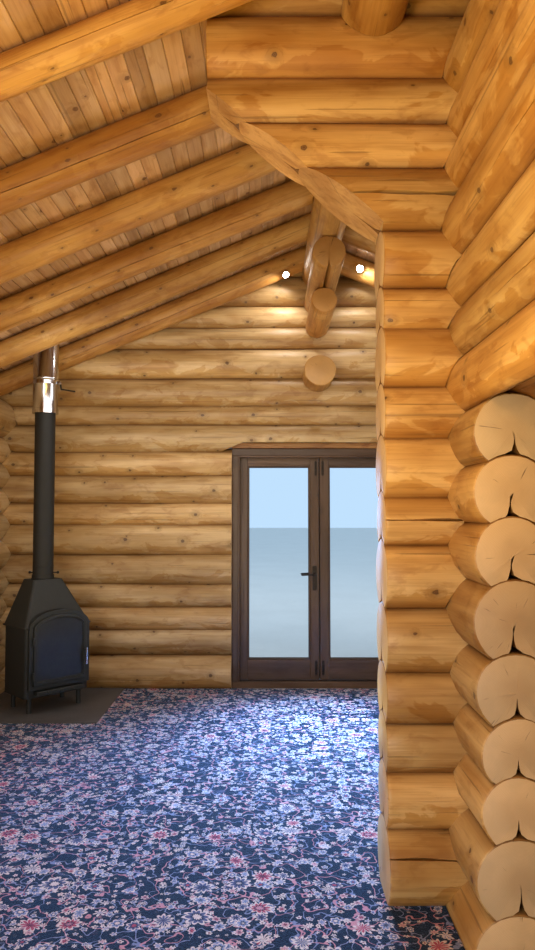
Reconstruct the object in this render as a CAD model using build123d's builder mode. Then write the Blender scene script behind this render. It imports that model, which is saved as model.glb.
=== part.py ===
from build123d import *
import os
from dataclasses import dataclass
from math import cos, hypot, radians, sin, sqrt, tan

os.makedirs("parts", exist_ok=True)

# Driving dimensions of the cabin, in millimetres
slab_thick = 150
carpet_thick = 10
carpet_gap = 2
floor_z = slab_thick + carpet_thick
half_width = 2860        # ridge line to the centre line of each eaves wall
half_length = 3750       # middle of the cabin to the centre line of each gable wall
cross_wall_y = 350
inner_wall_x = 440

# Round logs: rise of each course of the walls that run along X, from the slab up
log_rises = [295, 220, 195, 205, 255, 260, 190, 245, 210, 240, 170, 245, 265, 195, 190, 270, 260]
seat_half = 85           # half the width of the scribed seat between two logs
scribe_gap = 0.6
kerf_half = 20           # relief kerf sawn up from the top of the long groove
kerf_depth = 55
gable_tail = 360         # log end past the centre line of the wall that it crosses
eaves_tail = 400
inner_tail = 460
plate_level = 10         # the eaves course that carries the rafters
plate_radius = 185

# Ridge log and the two corbels under each of its ends
ridge_radius = 130
ridge_seat_half = 25
corbel_levels = (12, 14, 15)
corbel_reaches = (480, 960, 1420)    # from the gable wall's centre line into the room

# Pier end and haunch of the cross wall
pier_end_x = 40
haunch_low_z = floor_z + 2750
haunch_high_z = floor_z + 3310
haunch_x = -690
haunch_level = 12
haunch_spare = 1         # log left for the haunch's plumb cut

# Doorway in the inner wall, next to its tails at the cross wall
inner_door_width = 900
inner_door_level = 9
inner_pier_run = 460     # from the cross wall's centre line to the doorway

# Roof
pitch = 22.7
ceiling_apex = floor_z + 3896
rafter_radius = 95
rafter_flat = 3          # planed off the top of each pole, where the boards lie
rafter_spacing = 698
middle_rafter_radius = 74        # the pair in the middle of the roof is cut from thinner poles
rafter_inset = 50        # pole end behind the edge of the boards
eaves_overhang = 570
gable_overhang = 550
log_inset = 10           # ridge log end behind the bargeboards
plate_inset = 40
ridge_gap = 1
board_thick = 22
core_thick = 140
cover_thick = 20
cover_lip = 25
fascia_thick = 25
barge_drop = 60
cap_leg = 170
cap_thick = 5
flue_hole_gap = 1

# French doors in the gable wall
door_centre_x = 20
door_width = 1560        # over the frame
door_head_z = floor_z + 2100
settling_gap = 50
frame_gap = 0.5
frame_depth = 120
jamb_width = 55
stop_width = 15
head_height = 65
sill_top_z = floor_z + 45
sill_nose = (60, 40, 12)         # how far the sill reaches out, its thickness there and its chamfer
leaf_gap = 5
meeting_gap = 8
leaf_thick = 56
stile_width = 78
top_rail = 83
bottom_rail = 173
glass_thick = 24
glass_edge = 12
joint_gap = 0.3
trim_thick = 22

# Door furniture
knuckle_radius = 7
knuckle_length = 45
hinge_inset = 130
hinge_plate = 28
hinge_leaf = 3
handle_z = floor_z + 980
plate_size = (40, 220, 7)
plate_share_below = 0.65         # share of the lock plate that is below the spindle
plate_corner = 12
lever_length = 120
lever_stand = 38
lever_radius = 8
lever_boss = (11, 16)
spindle_radius = 6
spindle_play = 1
spindle_bore = 9
bolt_plate = (22, 130, 4)
bolt_inset = 40
bolt_share = 0.35                # of the stile's width, from the meeting edge

# Wood stove and its flue
pipe_inset = (602, 600)          # pipe's centre from the centre lines of the two walls
pipe_back = 80                   # pipe's centre behind the middle of the stove
stove_turn = 45
stove_width = 540
stove_depth = 360
stove_corner = 30
stove_low = 130
stove_top = 650
hood_lip = 10
hood_top_size = (250, 190)
hood_corner = 25
hood_top = 1000
leg_radius = 18
leg_inset = (60, 50)
arch_width = 500
arch_spring = 650                # height over the floor where the arch leaves the straight sides
arch_rise = 128
arch_low = 200
arch_back = 260
arch_front = 30
door_margin = 28
door_thick = 20
pipe_radius = 81
pipe_top = 2340
flue_radius = 100
flue_band = (4, 40)
chimney_top = 4700
cowl_stand = 90
cowl_lip = 60
cowl_tip = 20
cowl_post = 7
hearth_size = 1000
hearth_thick = 20
hearth_gap = 10
spot_radius = 34
spot_depth = 28
spot_taper = 12
spot_seat = 10                   # how deep its back is scooped to fit round the rafter
spot_places = ((-1, 320, 50), (1, 360, 15))      # roof side, distance from the ridge, turn below level

slope = tan(radians(pitch))
rise_cos = cos(radians(pitch))
rise_sin = sin(radians(pitch))
roof_run = half_width + eaves_overhang
roof_half_length = half_length + gable_overhang
rafter_run = roof_run - rafter_inset
rafters_each_way = int((roof_half_length - rafter_radius) // rafter_spacing)
inner_pier_y = cross_wall_y - inner_pier_run
pipe_x = pipe_inset[0] - half_width
pipe_y = half_length - pipe_inset[1]


@dataclass
class Course:
    """Height range of one log between its seats; its round passes through both seats."""
    bottom: float
    top: float
    seat: float = seat_half

    @property
    def centre(self):
        return (self.bottom + self.top) / 2

    @property
    def radius(self):
        return hypot(self.top - self.centre, self.seat)


def fat_course(bottom, radius, seat):
    """Course of a log with a given radius, seated at a given height."""
    return Course(bottom, bottom + 2 * sqrt(radius**2 - seat**2), seat)


# Courses along X start with a whole log, courses along Y with a half log
x_seams = [slab_thick]
for rise in log_rises:
    x_seams.append(x_seams[-1] + rise)
x_courses = {}
for level in range(len(log_rises)):
    x_courses[level] = Course(x_seams[level], x_seams[level + 1])

y_seams = [slab_thick] + [x_courses[level].centre for level in x_courses]
y_courses = {0: Course(2 * slab_thick - y_seams[1], y_seams[1])}
for level in range(1, len(log_rises)):
    y_courses[level] = Course(y_seams[level], y_seams[level + 1])

# The plate is fat enough to reach into the gable course above it as well
eaves_courses = {level: y_courses[level] for level in range(plate_level)}
eaves_courses[plate_level] = fat_course(y_seams[plate_level], plate_radius, seat_half)
eaves_courses[plate_level + 1] = eaves_courses[plate_level]
plate = eaves_courses[plate_level]

top_level = len(log_rises) - 1
inner_top_level = top_level - 1
inner_courses = {level: y_courses[level] for level in range(inner_top_level + 1)}

ridge_course = fat_course(y_seams[top_level], ridge_radius, ridge_seat_half)
corbel_courses = {}
for level in corbel_levels:
    corbel_courses[level] = Course(y_seams[level], y_seams[level + 1], ridge_seat_half)
under_ridge = {top_level: ridge_course}
gable_middle = {**corbel_courses, top_level: ridge_course}

inner_far_y = cross_wall_y + inner_tail
inner_jamb_y = inner_pier_y - inner_door_width
door_low_x = door_centre_x - door_width / 2
door_high_x = door_centre_x + door_width / 2
notch_length = 700
far = 6000


def half_at(course, z):
    """Half the width of a log at a given height."""
    return sqrt(course.radius**2 - (z - course.centre) ** 2)


def ceiling_z(x):
    """Height of the ceiling boards' underside at a distance from the ridge."""
    return ceiling_apex - slope * abs(x)


def log_profile(across, course, below):
    """End of one log: a full round, scribed over the log below, with a relief kerf."""
    with Locations((across, course.centre)):
        Circle(course.radius)
    if below is None:
        with Locations((across, slab_thick)):
            Rectangle(3 * course.radius, 3 * course.radius, align=(Align.CENTER, Align.MAX),
                      mode=Mode.SUBTRACT)
    else:
        with Locations((across, below.centre)):
            Circle(below.radius + scribe_gap, mode=Mode.SUBTRACT)
        groove_top = below.centre + below.radius
        Polygon((across - kerf_half, groove_top - scribe_gap), (across + kerf_half, groove_top - scribe_gap),
                (across, groove_top + kerf_depth), align=None, mode=Mode.SUBTRACT)


def saddle(at, turn, course):
    """Notch of a crossing log, cut from the part being built."""
    with Locations(Location((at[0], at[1], course.centre), turn)):
        Cylinder(course.radius + scribe_gap, notch_length, mode=Mode.SUBTRACT)


def x_log(level, start, end, y, crossings, trims=()):
    """A log along X, saddle-notched over the logs along Y below it."""
    with BuildPart() as log:
        with BuildSketch(Plane.YZ.offset(start)):
            log_profile(y, x_courses[level], x_courses.get(level - 1))
        extrude(amount=end - start)
        for x, courses in crossings:
            if level in courses and start <= x <= end:
                saddle((x, y), (90, 0, 0), courses[level])
        if ceiling_z(max(-start, end)) < x_courses[level].centre + x_courses[level].radius:
            add(under_roof.part, mode=Mode.INTERSECT)
        for trim in trims:
            add(trim, mode=Mode.SUBTRACT)
    return log.part


def y_log(level, start, end, x, courses, crossings):
    """A log along Y, saddle-notched over the logs along X below it."""
    with BuildPart() as log:
        with BuildSketch(Plane.XZ.offset(-end)):
            log_profile(x, courses[level], courses.get(level - 1))
        extrude(amount=end - start)
        for y in crossings:
            if level and start < y < end:
                saddle((x, y), (0, 90, 0), x_courses[level - 1])
    return log.part


def keep(name, *shapes):
    """Write one named piece; its solids stand clear of each other."""
    piece = shapes[0] if len(shapes) == 1 else Compound(children=list(shapes))
    piece.label = name
    export_step(piece, f"parts/{name}.step")
    return piece


def slope_panel(side, low, high, run, y_low, y_high, start=ridge_gap / 2):
    """Panel that follows the roof slope, between two offsets square to the ceiling."""
    with BuildPart() as panel:
        with BuildSketch(Plane.XZ.offset(-y_high)):
            with BuildLine():
                Polyline((side * start, ceiling_z(start) + low / rise_cos),
                         (side * run, ceiling_z(run) + low / rise_cos),
                         (side * run, ceiling_z(run) + high / rise_cos),
                         (side * start, ceiling_z(start) + high / rise_cos), close=True)
            make_face()
        extrude(amount=y_high - y_low)
    return panel.part


# Space under the ceiling boards, used to trim the logs that reach the roof
with BuildPart() as under_roof:
    with BuildSketch(Plane.XZ.offset(-far)):
        with BuildLine():
            Polyline((-far, -far), (far, -far), (far, ceiling_z(far) - scribe_gap),
                     (0, ceiling_apex - scribe_gap), (-far, ceiling_z(far) - scribe_gap), close=True)
        make_face()
    extrude(amount=2 * far)

# Ground slab and fitted carpet
with BuildPart() as base_slab:
    Box(2 * (half_width + half_at(y_courses[0], slab_thick)),
        2 * (half_length + half_at(x_courses[0], slab_thick)), slab_thick,
        align=(Align.CENTER, Align.CENTER, Align.MIN))
keep("base_slab", base_slab.part)

sill_x = half_at(x_courses[0], floor_z) + carpet_gap
sill_y = half_at(y_courses[0], slab_thick) + carpet_gap
room_x = half_width - sill_y
room_y = half_length - sill_x
cross_near = cross_wall_y - sill_x
cross_far = cross_wall_y + sill_x
inner_left = inner_wall_x - sill_y
inner_right = inner_wall_x + sill_y
carpet_rooms = [(-room_x, cross_far, room_x, room_y),
                (-room_x, -room_y, pier_end_x - joint_gap, cross_far - joint_gap),
                (pier_end_x, -room_y, inner_left, cross_near),
                (inner_right, -room_y, room_x, cross_near),
                (inner_left + joint_gap, inner_jamb_y + carpet_gap, inner_right - joint_gap,
                 inner_pier_y - carpet_gap)]
hearth_z = slab_thick + hearth_thick
hearth_low_x = -room_x
hearth_low_y = half_length - half_at(x_courses[0], hearth_z) - hearth_gap - hearth_size
tail_end_y = inner_far_y + carpet_gap
carpets = []
for low_x, low_y, high_x, high_y in carpet_rooms:
    with BuildPart() as carpet:
        with Locations((low_x, low_y, slab_thick)):
            Box(high_x - low_x, high_y - low_y, carpet_thick, align=Align.MIN)
        with Locations((hearth_low_x - far, hearth_low_y - joint_gap, slab_thick)):
            Box(far + hearth_size + joint_gap, far, carpet_thick, align=Align.MIN,
                mode=Mode.SUBTRACT)
        with Locations((inner_left, cross_near, slab_thick)):
            Box(inner_right - inner_left, tail_end_y - cross_near, carpet_thick, align=Align.MIN,
                mode=Mode.SUBTRACT)
    carpets.append(carpet.part)
keep("carpet", *carpets)

# Eaves walls: logs along Y that cross both gable walls and the cross wall
tail_y = half_length + gable_tail
eaves_levels = range(plate_level + 1)


def eaves_wall(x, crossings):
    logs = []
    for level in eaves_levels:
        reach = roof_half_length - plate_inset if level == plate_level else tail_y
        logs.append(y_log(level, -reach, reach, x, eaves_courses, crossings))
    return logs


keep("left_wall", *eaves_wall(-half_width, (-half_length, half_length)))
keep("right_wall", *eaves_wall(half_width, (-half_length, cross_wall_y, half_length)))

# Gable walls and cross wall: logs along X
tail_x = half_width + eaves_tail
eaves_crossings = [(-half_width, eaves_courses), (half_width, eaves_courses)]
inner_crossing = (inner_wall_x, inner_courses)


def reach_x(level):
    """Logs beside the plate stop at it; all others pass the eaves walls."""
    return half_width if level == plate_level else tail_x


with BuildPart() as door_opening:
    with Locations((door_centre_x, half_length, slab_thick)):
        Box(door_width, notch_length, door_head_z + settling_gap - slab_thick,
            align=(Align.CENTER, Align.CENTER, Align.MIN))

door_crossings = eaves_crossings + [(0, gable_middle)]
lintel_level = max(level for level in x_courses if x_courses[level].bottom < door_head_z)
wall_left, wall_right, wall_top = [], [], []
for level in x_courses:
    reach = reach_x(level)
    if level < lintel_level:
        wall_left.append(x_log(level, -reach, door_low_x, half_length, door_crossings))
        wall_right.append(x_log(level, door_high_x, reach, half_length, door_crossings))
    else:
        cut = [door_opening.part] if level == lintel_level else []
        wall_top.append(x_log(level, -reach, reach, half_length, door_crossings, cut))
keep("door_wall_left", *wall_left)
keep("door_wall_right", *wall_right)
keep("door_wall_top", *wall_top)

rear_crossings = door_crossings + [inner_crossing]
keep("rear_wall", *[x_log(level, -reach_x(level), reach_x(level), -half_length, rear_crossings)
                    for level in x_courses])

# Sawn end of the haunch that carries the ridge log out over the open side
with BuildPart() as haunch_cut:
    with BuildSketch(Plane.XZ.offset(-cross_wall_y - notch_length / 2)):
        with BuildLine():
            Polyline((pier_end_x, haunch_low_z), (haunch_x, haunch_high_z), (haunch_x, far),
                     (-far, far), (-far, 0), (pier_end_x, 0), close=True)
        make_face()
    extrude(amount=notch_length)

cross_crossings = [(half_width, eaves_courses), inner_crossing, (0, under_ridge)]
keep("cross_wall", *[x_log(level, pier_end_x, reach_x(level), cross_wall_y, cross_crossings)
                     for level in x_courses if level < haunch_level])
keep("cross_wall_top", *[x_log(level, haunch_x - haunch_spare, reach_x(level), cross_wall_y, cross_crossings,
                               [haunch_cut.part])
                         for level in x_courses if level >= haunch_level])

# Inner wall along Y: tails at the cross wall, a doorway, and the rest to the rear gable
inner_walls = (-half_length, cross_wall_y)
keep("inner_wall_pier", *[y_log(level, inner_pier_y, inner_far_y, inner_wall_x, inner_courses, inner_walls)
                          for level in range(inner_door_level)])
keep("inner_wall_rear", *[y_log(level, -tail_y, inner_jamb_y, inner_wall_x, inner_courses, inner_walls)
                          for level in range(inner_door_level)])
keep("inner_wall_header", *[y_log(level, -tail_y, inner_far_y, inner_wall_x, inner_courses, inner_walls)
                            for level in range(inner_door_level, inner_top_level + 1)])

# Corbels under both ends of the ridge log
for name, side in (("door_wall_corbels", 1), ("rear_wall_corbels", -1)):
    corbels = []
    for level, reach in zip(corbel_levels, corbel_reaches):
        low, high = sorted((side * (half_length - reach), side * tail_y))
        corbels.append(y_log(level, low, high, 0, corbel_courses, (side * half_length,)))
    keep(name, *corbels)

# Ridge log, hollowed over the upper corbels and notched over the three walls
upper_corbel = corbel_courses[corbel_levels[-1]]
corbel_end = half_length - corbel_reaches[-1]
ridge_half_length = roof_half_length - log_inset
with BuildPart() as ridge_log:
    with BuildSketch(Plane.XZ.offset(-ridge_half_length)):
        with Locations((0, ridge_course.centre)):
            Circle(ridge_radius)
    extrude(amount=2 * ridge_half_length)
    for y in (-half_length, cross_wall_y, half_length):
        saddle((0, y), (0, 90, 0), x_courses[top_level - 1])
    for side in (-1, 1):
        corbel_length = tail_y - corbel_end + 2 * scribe_gap
        with Locations(Location((0, side * (tail_y + corbel_end) / 2, upper_corbel.centre), (90, 0, 0))):
            Cylinder(upper_corbel.radius + scribe_gap, corbel_length, mode=Mode.SUBTRACT)
keep("ridge_log", ridge_log.part)

# Pole rafters, notched over the plate and the ridge log
rafter_places = [step * rafter_spacing for step in range(-rafters_each_way, rafters_each_way + 1)]


def axis_apex(radius):
    """Height at the ridge of a pole's axis; every pole's planed top lies under the boards."""
    return ceiling_apex - (radius - rafter_flat) / rise_cos


def rafter(side, over_inner_wall, radius=rafter_radius):
    """One pole from the ridge to the eaves, with its top planed for the boards."""
    apex = axis_apex(radius)
    down = Plane(origin=(0, 0, apex), x_dir=(0, 1, 0), z_dir=(side * rise_cos, 0, -rise_sin))
    with BuildPart() as pole:
        with BuildSketch(down.offset(-radius)):
            Circle(radius)
            with Locations((0, side * (radius - rafter_flat))):
                Rectangle(2 * radius, radius,
                          align=(Align.CENTER, Align.MIN if side > 0 else Align.MAX), mode=Mode.SUBTRACT)
        extrude(amount=radius + rafter_run / rise_cos)
        with Locations((side * ridge_gap / 2, 0, apex)):
            Box(notch_length, notch_length, notch_length,
                align=(Align.MAX if side > 0 else Align.MIN, Align.CENTER, Align.CENTER),
                mode=Mode.SUBTRACT)
        saddle((0, 0), (90, 0, 0), ridge_course)
        saddle((side * half_width, 0), (90, 0, 0), plate)
        if over_inner_wall:
            saddle((inner_wall_x, 0), (90, 0, 0), inner_courses[inner_top_level])
    return pole.part


def rafter_row(side):
    """All poles of one roof slope; those over the inner wall are notched over it too."""
    plain = rafter(side, False)
    notched = rafter(side, True) if side > 0 else plain
    row = []
    for y in rafter_places:
        pole = notched if y < inner_far_y + rafter_radius else plain
        if y == 0:
            pole = rafter(side, side > 0, middle_rafter_radius)
        row.append(pole.moved(Location((0, y, 0))))
    return row


keep("left_rafters", *rafter_row(-1))
keep("right_rafters", *rafter_row(1))

# Roof layers, each with the flue's round hole on the left slope
core_top = board_thick + core_thick
cover_top = core_top + cover_thick
cover_half_length = roof_half_length + fascia_thick + cover_lip
cover_run = roof_run + fascia_thick + cover_lip


def roof_layer(name, side, low, high, run, half):
    panel = slope_panel(side, low, high, run, -half, half)
    if side < 0:
        with BuildPart() as holed:
            add(panel)
            with Locations((pipe_x, pipe_y, 0)):
                Cylinder(flue_radius + flue_hole_gap, 2 * far, mode=Mode.SUBTRACT)
        panel = holed.part
    keep(name, panel)


for hand, side in (("left", -1), ("right", 1)):
    roof_layer(f"{hand}_ceiling", side, 0, board_thick, roof_run, roof_half_length)
    roof_layer(f"{hand}_roof_core", side, board_thick, core_top, roof_run, roof_half_length)
    roof_layer(f"{hand}_roof_cover", side, core_top, cover_top, cover_run, cover_half_length)
    keep(f"{hand}_fascia", slope_panel(side, 0, core_top, roof_run + fascia_thick, -roof_half_length,
                                       roof_half_length, roof_run))

for name, y_low in (("door_gable_bargeboards", roof_half_length),
                    ("rear_gable_bargeboards", -roof_half_length - fascia_thick)):
    keep(name, *[slope_panel(side, -barge_drop, core_top, roof_run + fascia_thick, y_low,
                             y_low + fascia_thick) for side in (-1, 1)])

with BuildPart() as ridge_cap:
    cap_z = ceiling_apex + cover_top / rise_cos
    cap_rise = cap_thick / rise_cos
    cap_run = cap_leg * rise_cos
    with BuildSketch(Plane.XZ.offset(-cover_half_length)):
        with BuildLine():
            Polyline((0, cap_z), (cap_run, cap_z - slope * cap_run),
                     (cap_run, cap_z - slope * cap_run + cap_rise), (0, cap_z + cap_rise),
                     (-cap_run, cap_z - slope * cap_run + cap_rise), (-cap_run, cap_z - slope * cap_run),
                     close=True)
        make_face()
    extrude(amount=2 * cover_half_length)
keep("ridge_cap", ridge_cap.part)

# Door frame: two jambs with stops, a head and a sill, seated in the sawn opening
frame_in = half_length - frame_depth / 2
frame_out = half_length + frame_depth / 2
leaf_in = frame_out - leaf_thick
stop_face = leaf_in - leaf_gap
leaf_low_z = sill_top_z + leaf_gap
leaf_high_z = door_head_z - head_height - leaf_gap


def block(low, high):
    """Plain block between two corners, added to the part being built."""
    with Locations(low):
        Box(high[0] - low[0], high[1] - low[1], high[2] - low[2], align=Align.MIN)


def jamb(side):
    outer = door_centre_x + side * (door_width / 2 - frame_gap)
    face = door_centre_x + side * (door_width / 2 - jamb_width)
    stop = face - side * stop_width
    low, high = sorted((outer, face))
    stop_low, stop_high = sorted((outer, stop))
    top = door_head_z - head_height - joint_gap
    with BuildPart() as post:
        block((low, frame_in, sill_top_z + joint_gap), (high, frame_out, top))
        block((stop_low, frame_in, sill_top_z + joint_gap), (stop_high, stop_face, top))
    return post.part


with BuildPart() as door_head:
    block((door_low_x + frame_gap, frame_in, door_head_z - head_height),
          (door_high_x - frame_gap, frame_out, door_head_z))
    block((door_low_x + jamb_width + stop_width + joint_gap, frame_in, door_head_z - head_height - stop_width),
          (door_high_x - jamb_width - stop_width - joint_gap, stop_face, door_head_z - head_height))
keep("door_frame", jamb(-1), jamb(1), door_head.part)

with BuildPart() as door_sill:
    block((door_low_x + frame_gap, frame_in, slab_thick), (door_high_x - frame_gap, frame_out, sill_top_z))
    block((door_low_x + frame_gap, frame_out, sill_top_z - sill_nose[1]),
          (door_high_x - frame_gap, frame_out + sill_nose[0], sill_top_z))
    chamfer(door_sill.edges().filter_by(Axis.X).group_by(Axis.Y)[-1].sort_by(Axis.Z)[-1:], sill_nose[2])
keep("door_sill", door_sill.part)

trims = []
for y in (half_length - seat_half, half_length + seat_half - trim_thick):
    with BuildPart() as trim:
        block((door_low_x + frame_gap, y, door_head_z + joint_gap),
              (door_high_x - frame_gap, y + trim_thick, door_head_z + settling_gap - joint_gap))
    trims.append(trim.part)
keep("door_head_trim", *trims)

# Door leaves: stiles and rails grooved round a sealed glass unit
leaf_width = (door_width - 2 * (jamb_width + leaf_gap) - meeting_gap) / 2
glass_y = (leaf_in + frame_out - glass_thick) / 2
hinge_y = frame_out + knuckle_radius + 1


def leaf_edges(side):
    """Hinge edge and meeting edge of a leaf."""
    hinge = door_centre_x + side * (door_width / 2 - jamb_width - leaf_gap)
    return hinge, hinge - side * leaf_width


def door_leaf(side):
    low, high = sorted(leaf_edges(side))
    inner_low, inner_high = low + stile_width, high - stile_width
    glass_low_z, glass_high_z = leaf_low_z + bottom_rail, leaf_high_z - top_rail
    boxes = [((low, leaf_in, leaf_low_z), (inner_low, frame_out, leaf_high_z)),
             ((inner_high, leaf_in, leaf_low_z), (high, frame_out, leaf_high_z)),
             ((inner_low + joint_gap, leaf_in, leaf_low_z), (inner_high - joint_gap, frame_out, glass_low_z)),
             ((inner_low + joint_gap, leaf_in, glass_high_z), (inner_high - joint_gap, frame_out, leaf_high_z))]
    members = []
    for box_low, box_high in boxes:
        with BuildPart() as member:
            block(box_low, box_high)
            with Locations((inner_low - glass_edge - joint_gap, glass_y - joint_gap,
                            glass_low_z - glass_edge - joint_gap)):
                Box(inner_high - inner_low + 2 * (glass_edge + joint_gap), glass_thick + 2 * joint_gap,
                    glass_high_z - glass_low_z + 2 * (glass_edge + joint_gap), align=Align.MIN,
                    mode=Mode.SUBTRACT)
            if side < 0 and box_low[0] == inner_high:
                with Locations(Location((high - stile_width / 2, leaf_in, handle_z), (90, 0, 0))):
                    Cylinder(spindle_bore, 4 * leaf_thick, mode=Mode.SUBTRACT)
        members.append(member.part)
    with BuildPart() as glass:
        block((inner_low - glass_edge, glass_y, glass_low_z - glass_edge),
              (inner_high + glass_edge, glass_y + glass_thick, glass_high_z + glass_edge))
    return members, glass.part


for hand, side in (("left", -1), ("right", 1)):
    members, glass = door_leaf(side)
    keep(f"{hand}_door_leaf", *members)
    keep(f"{hand}_door_glass", glass)


# Hinges: a knuckle on the frame under a knuckle on the leaf, three to each leaf
def hinge_half(side, z, toward):
    """Knuckle and plate; toward is +1 for the leaf's half and -1 for the frame's half."""
    hinge_x = door_centre_x + side * (door_width / 2 - jamb_width - leaf_gap / 2)
    reach = hinge_x - side * toward * hinge_plate
    low, high = sorted((hinge_x, reach))
    with BuildPart() as half:
        with Locations((hinge_x, hinge_y, z)):
            Cylinder(knuckle_radius, knuckle_length, align=(Align.CENTER, Align.CENTER, Align.MIN))
        block((low, frame_out + joint_gap, z), (high, frame_out + hinge_leaf, z + knuckle_length))
    return half.part


hinge_low_z = leaf_low_z + hinge_inset
hinge_high_z = leaf_high_z - hinge_inset - 2 * knuckle_length
frame_halves = []
for hand, side in (("left", -1), ("right", 1)):
    leaf_halves = []
    for z in (hinge_low_z, (hinge_low_z + hinge_high_z) / 2, hinge_high_z):
        frame_halves.append(hinge_half(side, z, -1))
        leaf_halves.append(hinge_half(side, z + knuckle_length + joint_gap, 1))
    keep(f"{hand}_leaf_hinges", *leaf_halves)
keep("frame_hinges", *frame_halves)

# Lever set on the left leaf: a plate on each face and one lever on each end of the spindle
handle_x = leaf_edges(-1)[1] - stile_width / 2
plates = []
for y_low, y_high in ((leaf_in - joint_gap - plate_size[2], leaf_in - joint_gap),
                      (frame_out + joint_gap, frame_out + joint_gap + plate_size[2])):
    with BuildPart() as backplate:
        block((handle_x - plate_size[0] / 2, y_low, handle_z - plate_size[1] * plate_share_below),
              (handle_x + plate_size[0] / 2, y_high, handle_z + plate_size[1] * (1 - plate_share_below)))
        fillet(backplate.edges().filter_by(Axis.Y), plate_corner)
        with Locations(Location((handle_x, y_low, handle_z), (90, 0, 0))):
            Cylinder(spindle_radius + spindle_play, 4 * plate_size[2], mode=Mode.SUBTRACT)
    plates.append(backplate.part)
keep("lock_plates", *plates)

lever_in = leaf_in - plate_size[2] - lever_stand
lever_out = frame_out + plate_size[2] + lever_stand
with BuildPart() as door_lever:
    with Locations(Location((handle_x, (lever_in + lever_out) / 2, handle_z), (90, 0, 0))):
        Cylinder(spindle_radius, lever_out - lever_in)
    for y in (lever_in, lever_out):
        with Locations(Location((handle_x, y, handle_z), (90, 0, 0))):
            Cylinder(*lever_boss)
        with Locations(Location((handle_x, y, handle_z), (0, -90, 0))):
            Cylinder(lever_radius, lever_length, align=(Align.CENTER, Align.CENTER, Align.MIN))
keep("door_lever", door_lever.part)

# Flush bolt plates at both ends of the meeting stiles
for hand, side in (("left", -1), ("right", 1)):
    bolt_x = leaf_edges(side)[1] + side * stile_width * bolt_share
    bolts = []
    for z in (leaf_low_z + bolt_inset, leaf_high_z - bolt_inset - bolt_plate[1]):
        with BuildPart() as bolt:
            block((bolt_x - bolt_plate[0] / 2, leaf_in - joint_gap - bolt_plate[2], z),
                  (bolt_x + bolt_plate[0] / 2, leaf_in - joint_gap, z + bolt_plate[1]))
        bolts.append(bolt.part)
    keep(f"{hand}_door_bolts", *bolts)

# Hearth, wood stove and flue in the left corner of the door gable
with BuildPart() as hearth:
    with Locations((hearth_low_x, hearth_low_y, slab_thick)):
        Box(hearth_size, hearth_size, hearth_thick, align=Align.MIN)
keep("hearth", hearth.part)

turn_x, turn_y = cos(radians(stove_turn)), sin(radians(stove_turn))
pipe_plane = Plane(origin=(pipe_x, pipe_y, floor_z), x_dir=(turn_x, turn_y, 0), z_dir=(0, 0, 1))
stove_plane = Plane(origin=pipe_plane.from_local_coords((0, -pipe_back, 0)), x_dir=pipe_plane.x_dir,
                    z_dir=(0, 0, 1))
stove_face = Plane(origin=stove_plane.from_local_coords((0, -stove_depth / 2, 0)),
                   x_dir=stove_plane.x_dir, z_dir=-stove_plane.y_dir)


def arch(margin):
    """Straight-sided arch of the fire opening, drawn on the stove's front, smaller by a margin."""
    with Locations((0, arch_spring)):
        Ellipse(arch_width / 2 - margin, arch_rise - margin)
    with Locations((0, arch_spring)):
        Rectangle(arch_width - 2 * margin, 2 * arch_rise, align=(Align.CENTER, Align.MAX), mode=Mode.SUBTRACT)
    with Locations((0, arch_low + margin)):
        Rectangle(arch_width - 2 * margin, arch_spring - arch_low - margin, align=(Align.CENTER, Align.MIN))


with BuildPart() as fire_arch:
    with BuildSketch(stove_face.offset(arch_front)):
        arch(0)
    extrude(amount=-arch_back)

with BuildPart() as stove_body:
    with BuildSketch(stove_plane.offset(stove_low)):
        RectangleRounded(stove_width, stove_depth, stove_corner)
    extrude(amount=stove_top - stove_low)
    with BuildSketch(stove_plane.offset(hearth_z - floor_z)):
        with GridLocations(stove_width - 2 * leg_inset[0], stove_depth - 2 * leg_inset[1], 2, 2):
            Circle(leg_radius)
    extrude(amount=floor_z + stove_low - hearth_z)
    add(fire_arch.part)
keep("stove_body", stove_body.part)

with BuildPart() as stove_hood:
    with BuildSketch(stove_plane.offset(stove_top + joint_gap)):
        RectangleRounded(stove_width + 2 * hood_lip, stove_depth + 2 * hood_lip, hood_corner)
    with BuildSketch(pipe_plane.offset(hood_top)):
        RectangleRounded(*hood_top_size, hood_corner)
    loft()
    with BuildSketch(stove_face.offset(arch_front)):
        arch(-joint_gap)
    extrude(amount=-arch_back - joint_gap, mode=Mode.SUBTRACT)
keep("stove_hood", stove_hood.part)

with BuildPart() as stove_door:
    with BuildSketch(stove_face.offset(arch_front + joint_gap)):
        arch(door_margin)
    extrude(amount=door_thick)
keep("stove_door", stove_door.part)

with BuildPart() as stove_pipe:
    with Locations((pipe_x, pipe_y, floor_z + hood_top + joint_gap)):
        Cylinder(pipe_radius, pipe_top - hood_top - 2 * joint_gap,
                 align=(Align.CENTER, Align.CENTER, Align.MIN))
keep("stove_pipe", stove_pipe.part)

with BuildPart() as flue:
    with Locations((pipe_x, pipe_y, floor_z + pipe_top)):
        Cylinder(flue_radius, chimney_top - pipe_top, align=(Align.CENTER, Align.CENTER, Align.MIN))
        Cylinder(flue_radius + flue_band[0], flue_band[1], align=(Align.CENTER, Align.CENTER, Align.MIN))
keep("flue", flue.part)

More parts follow.
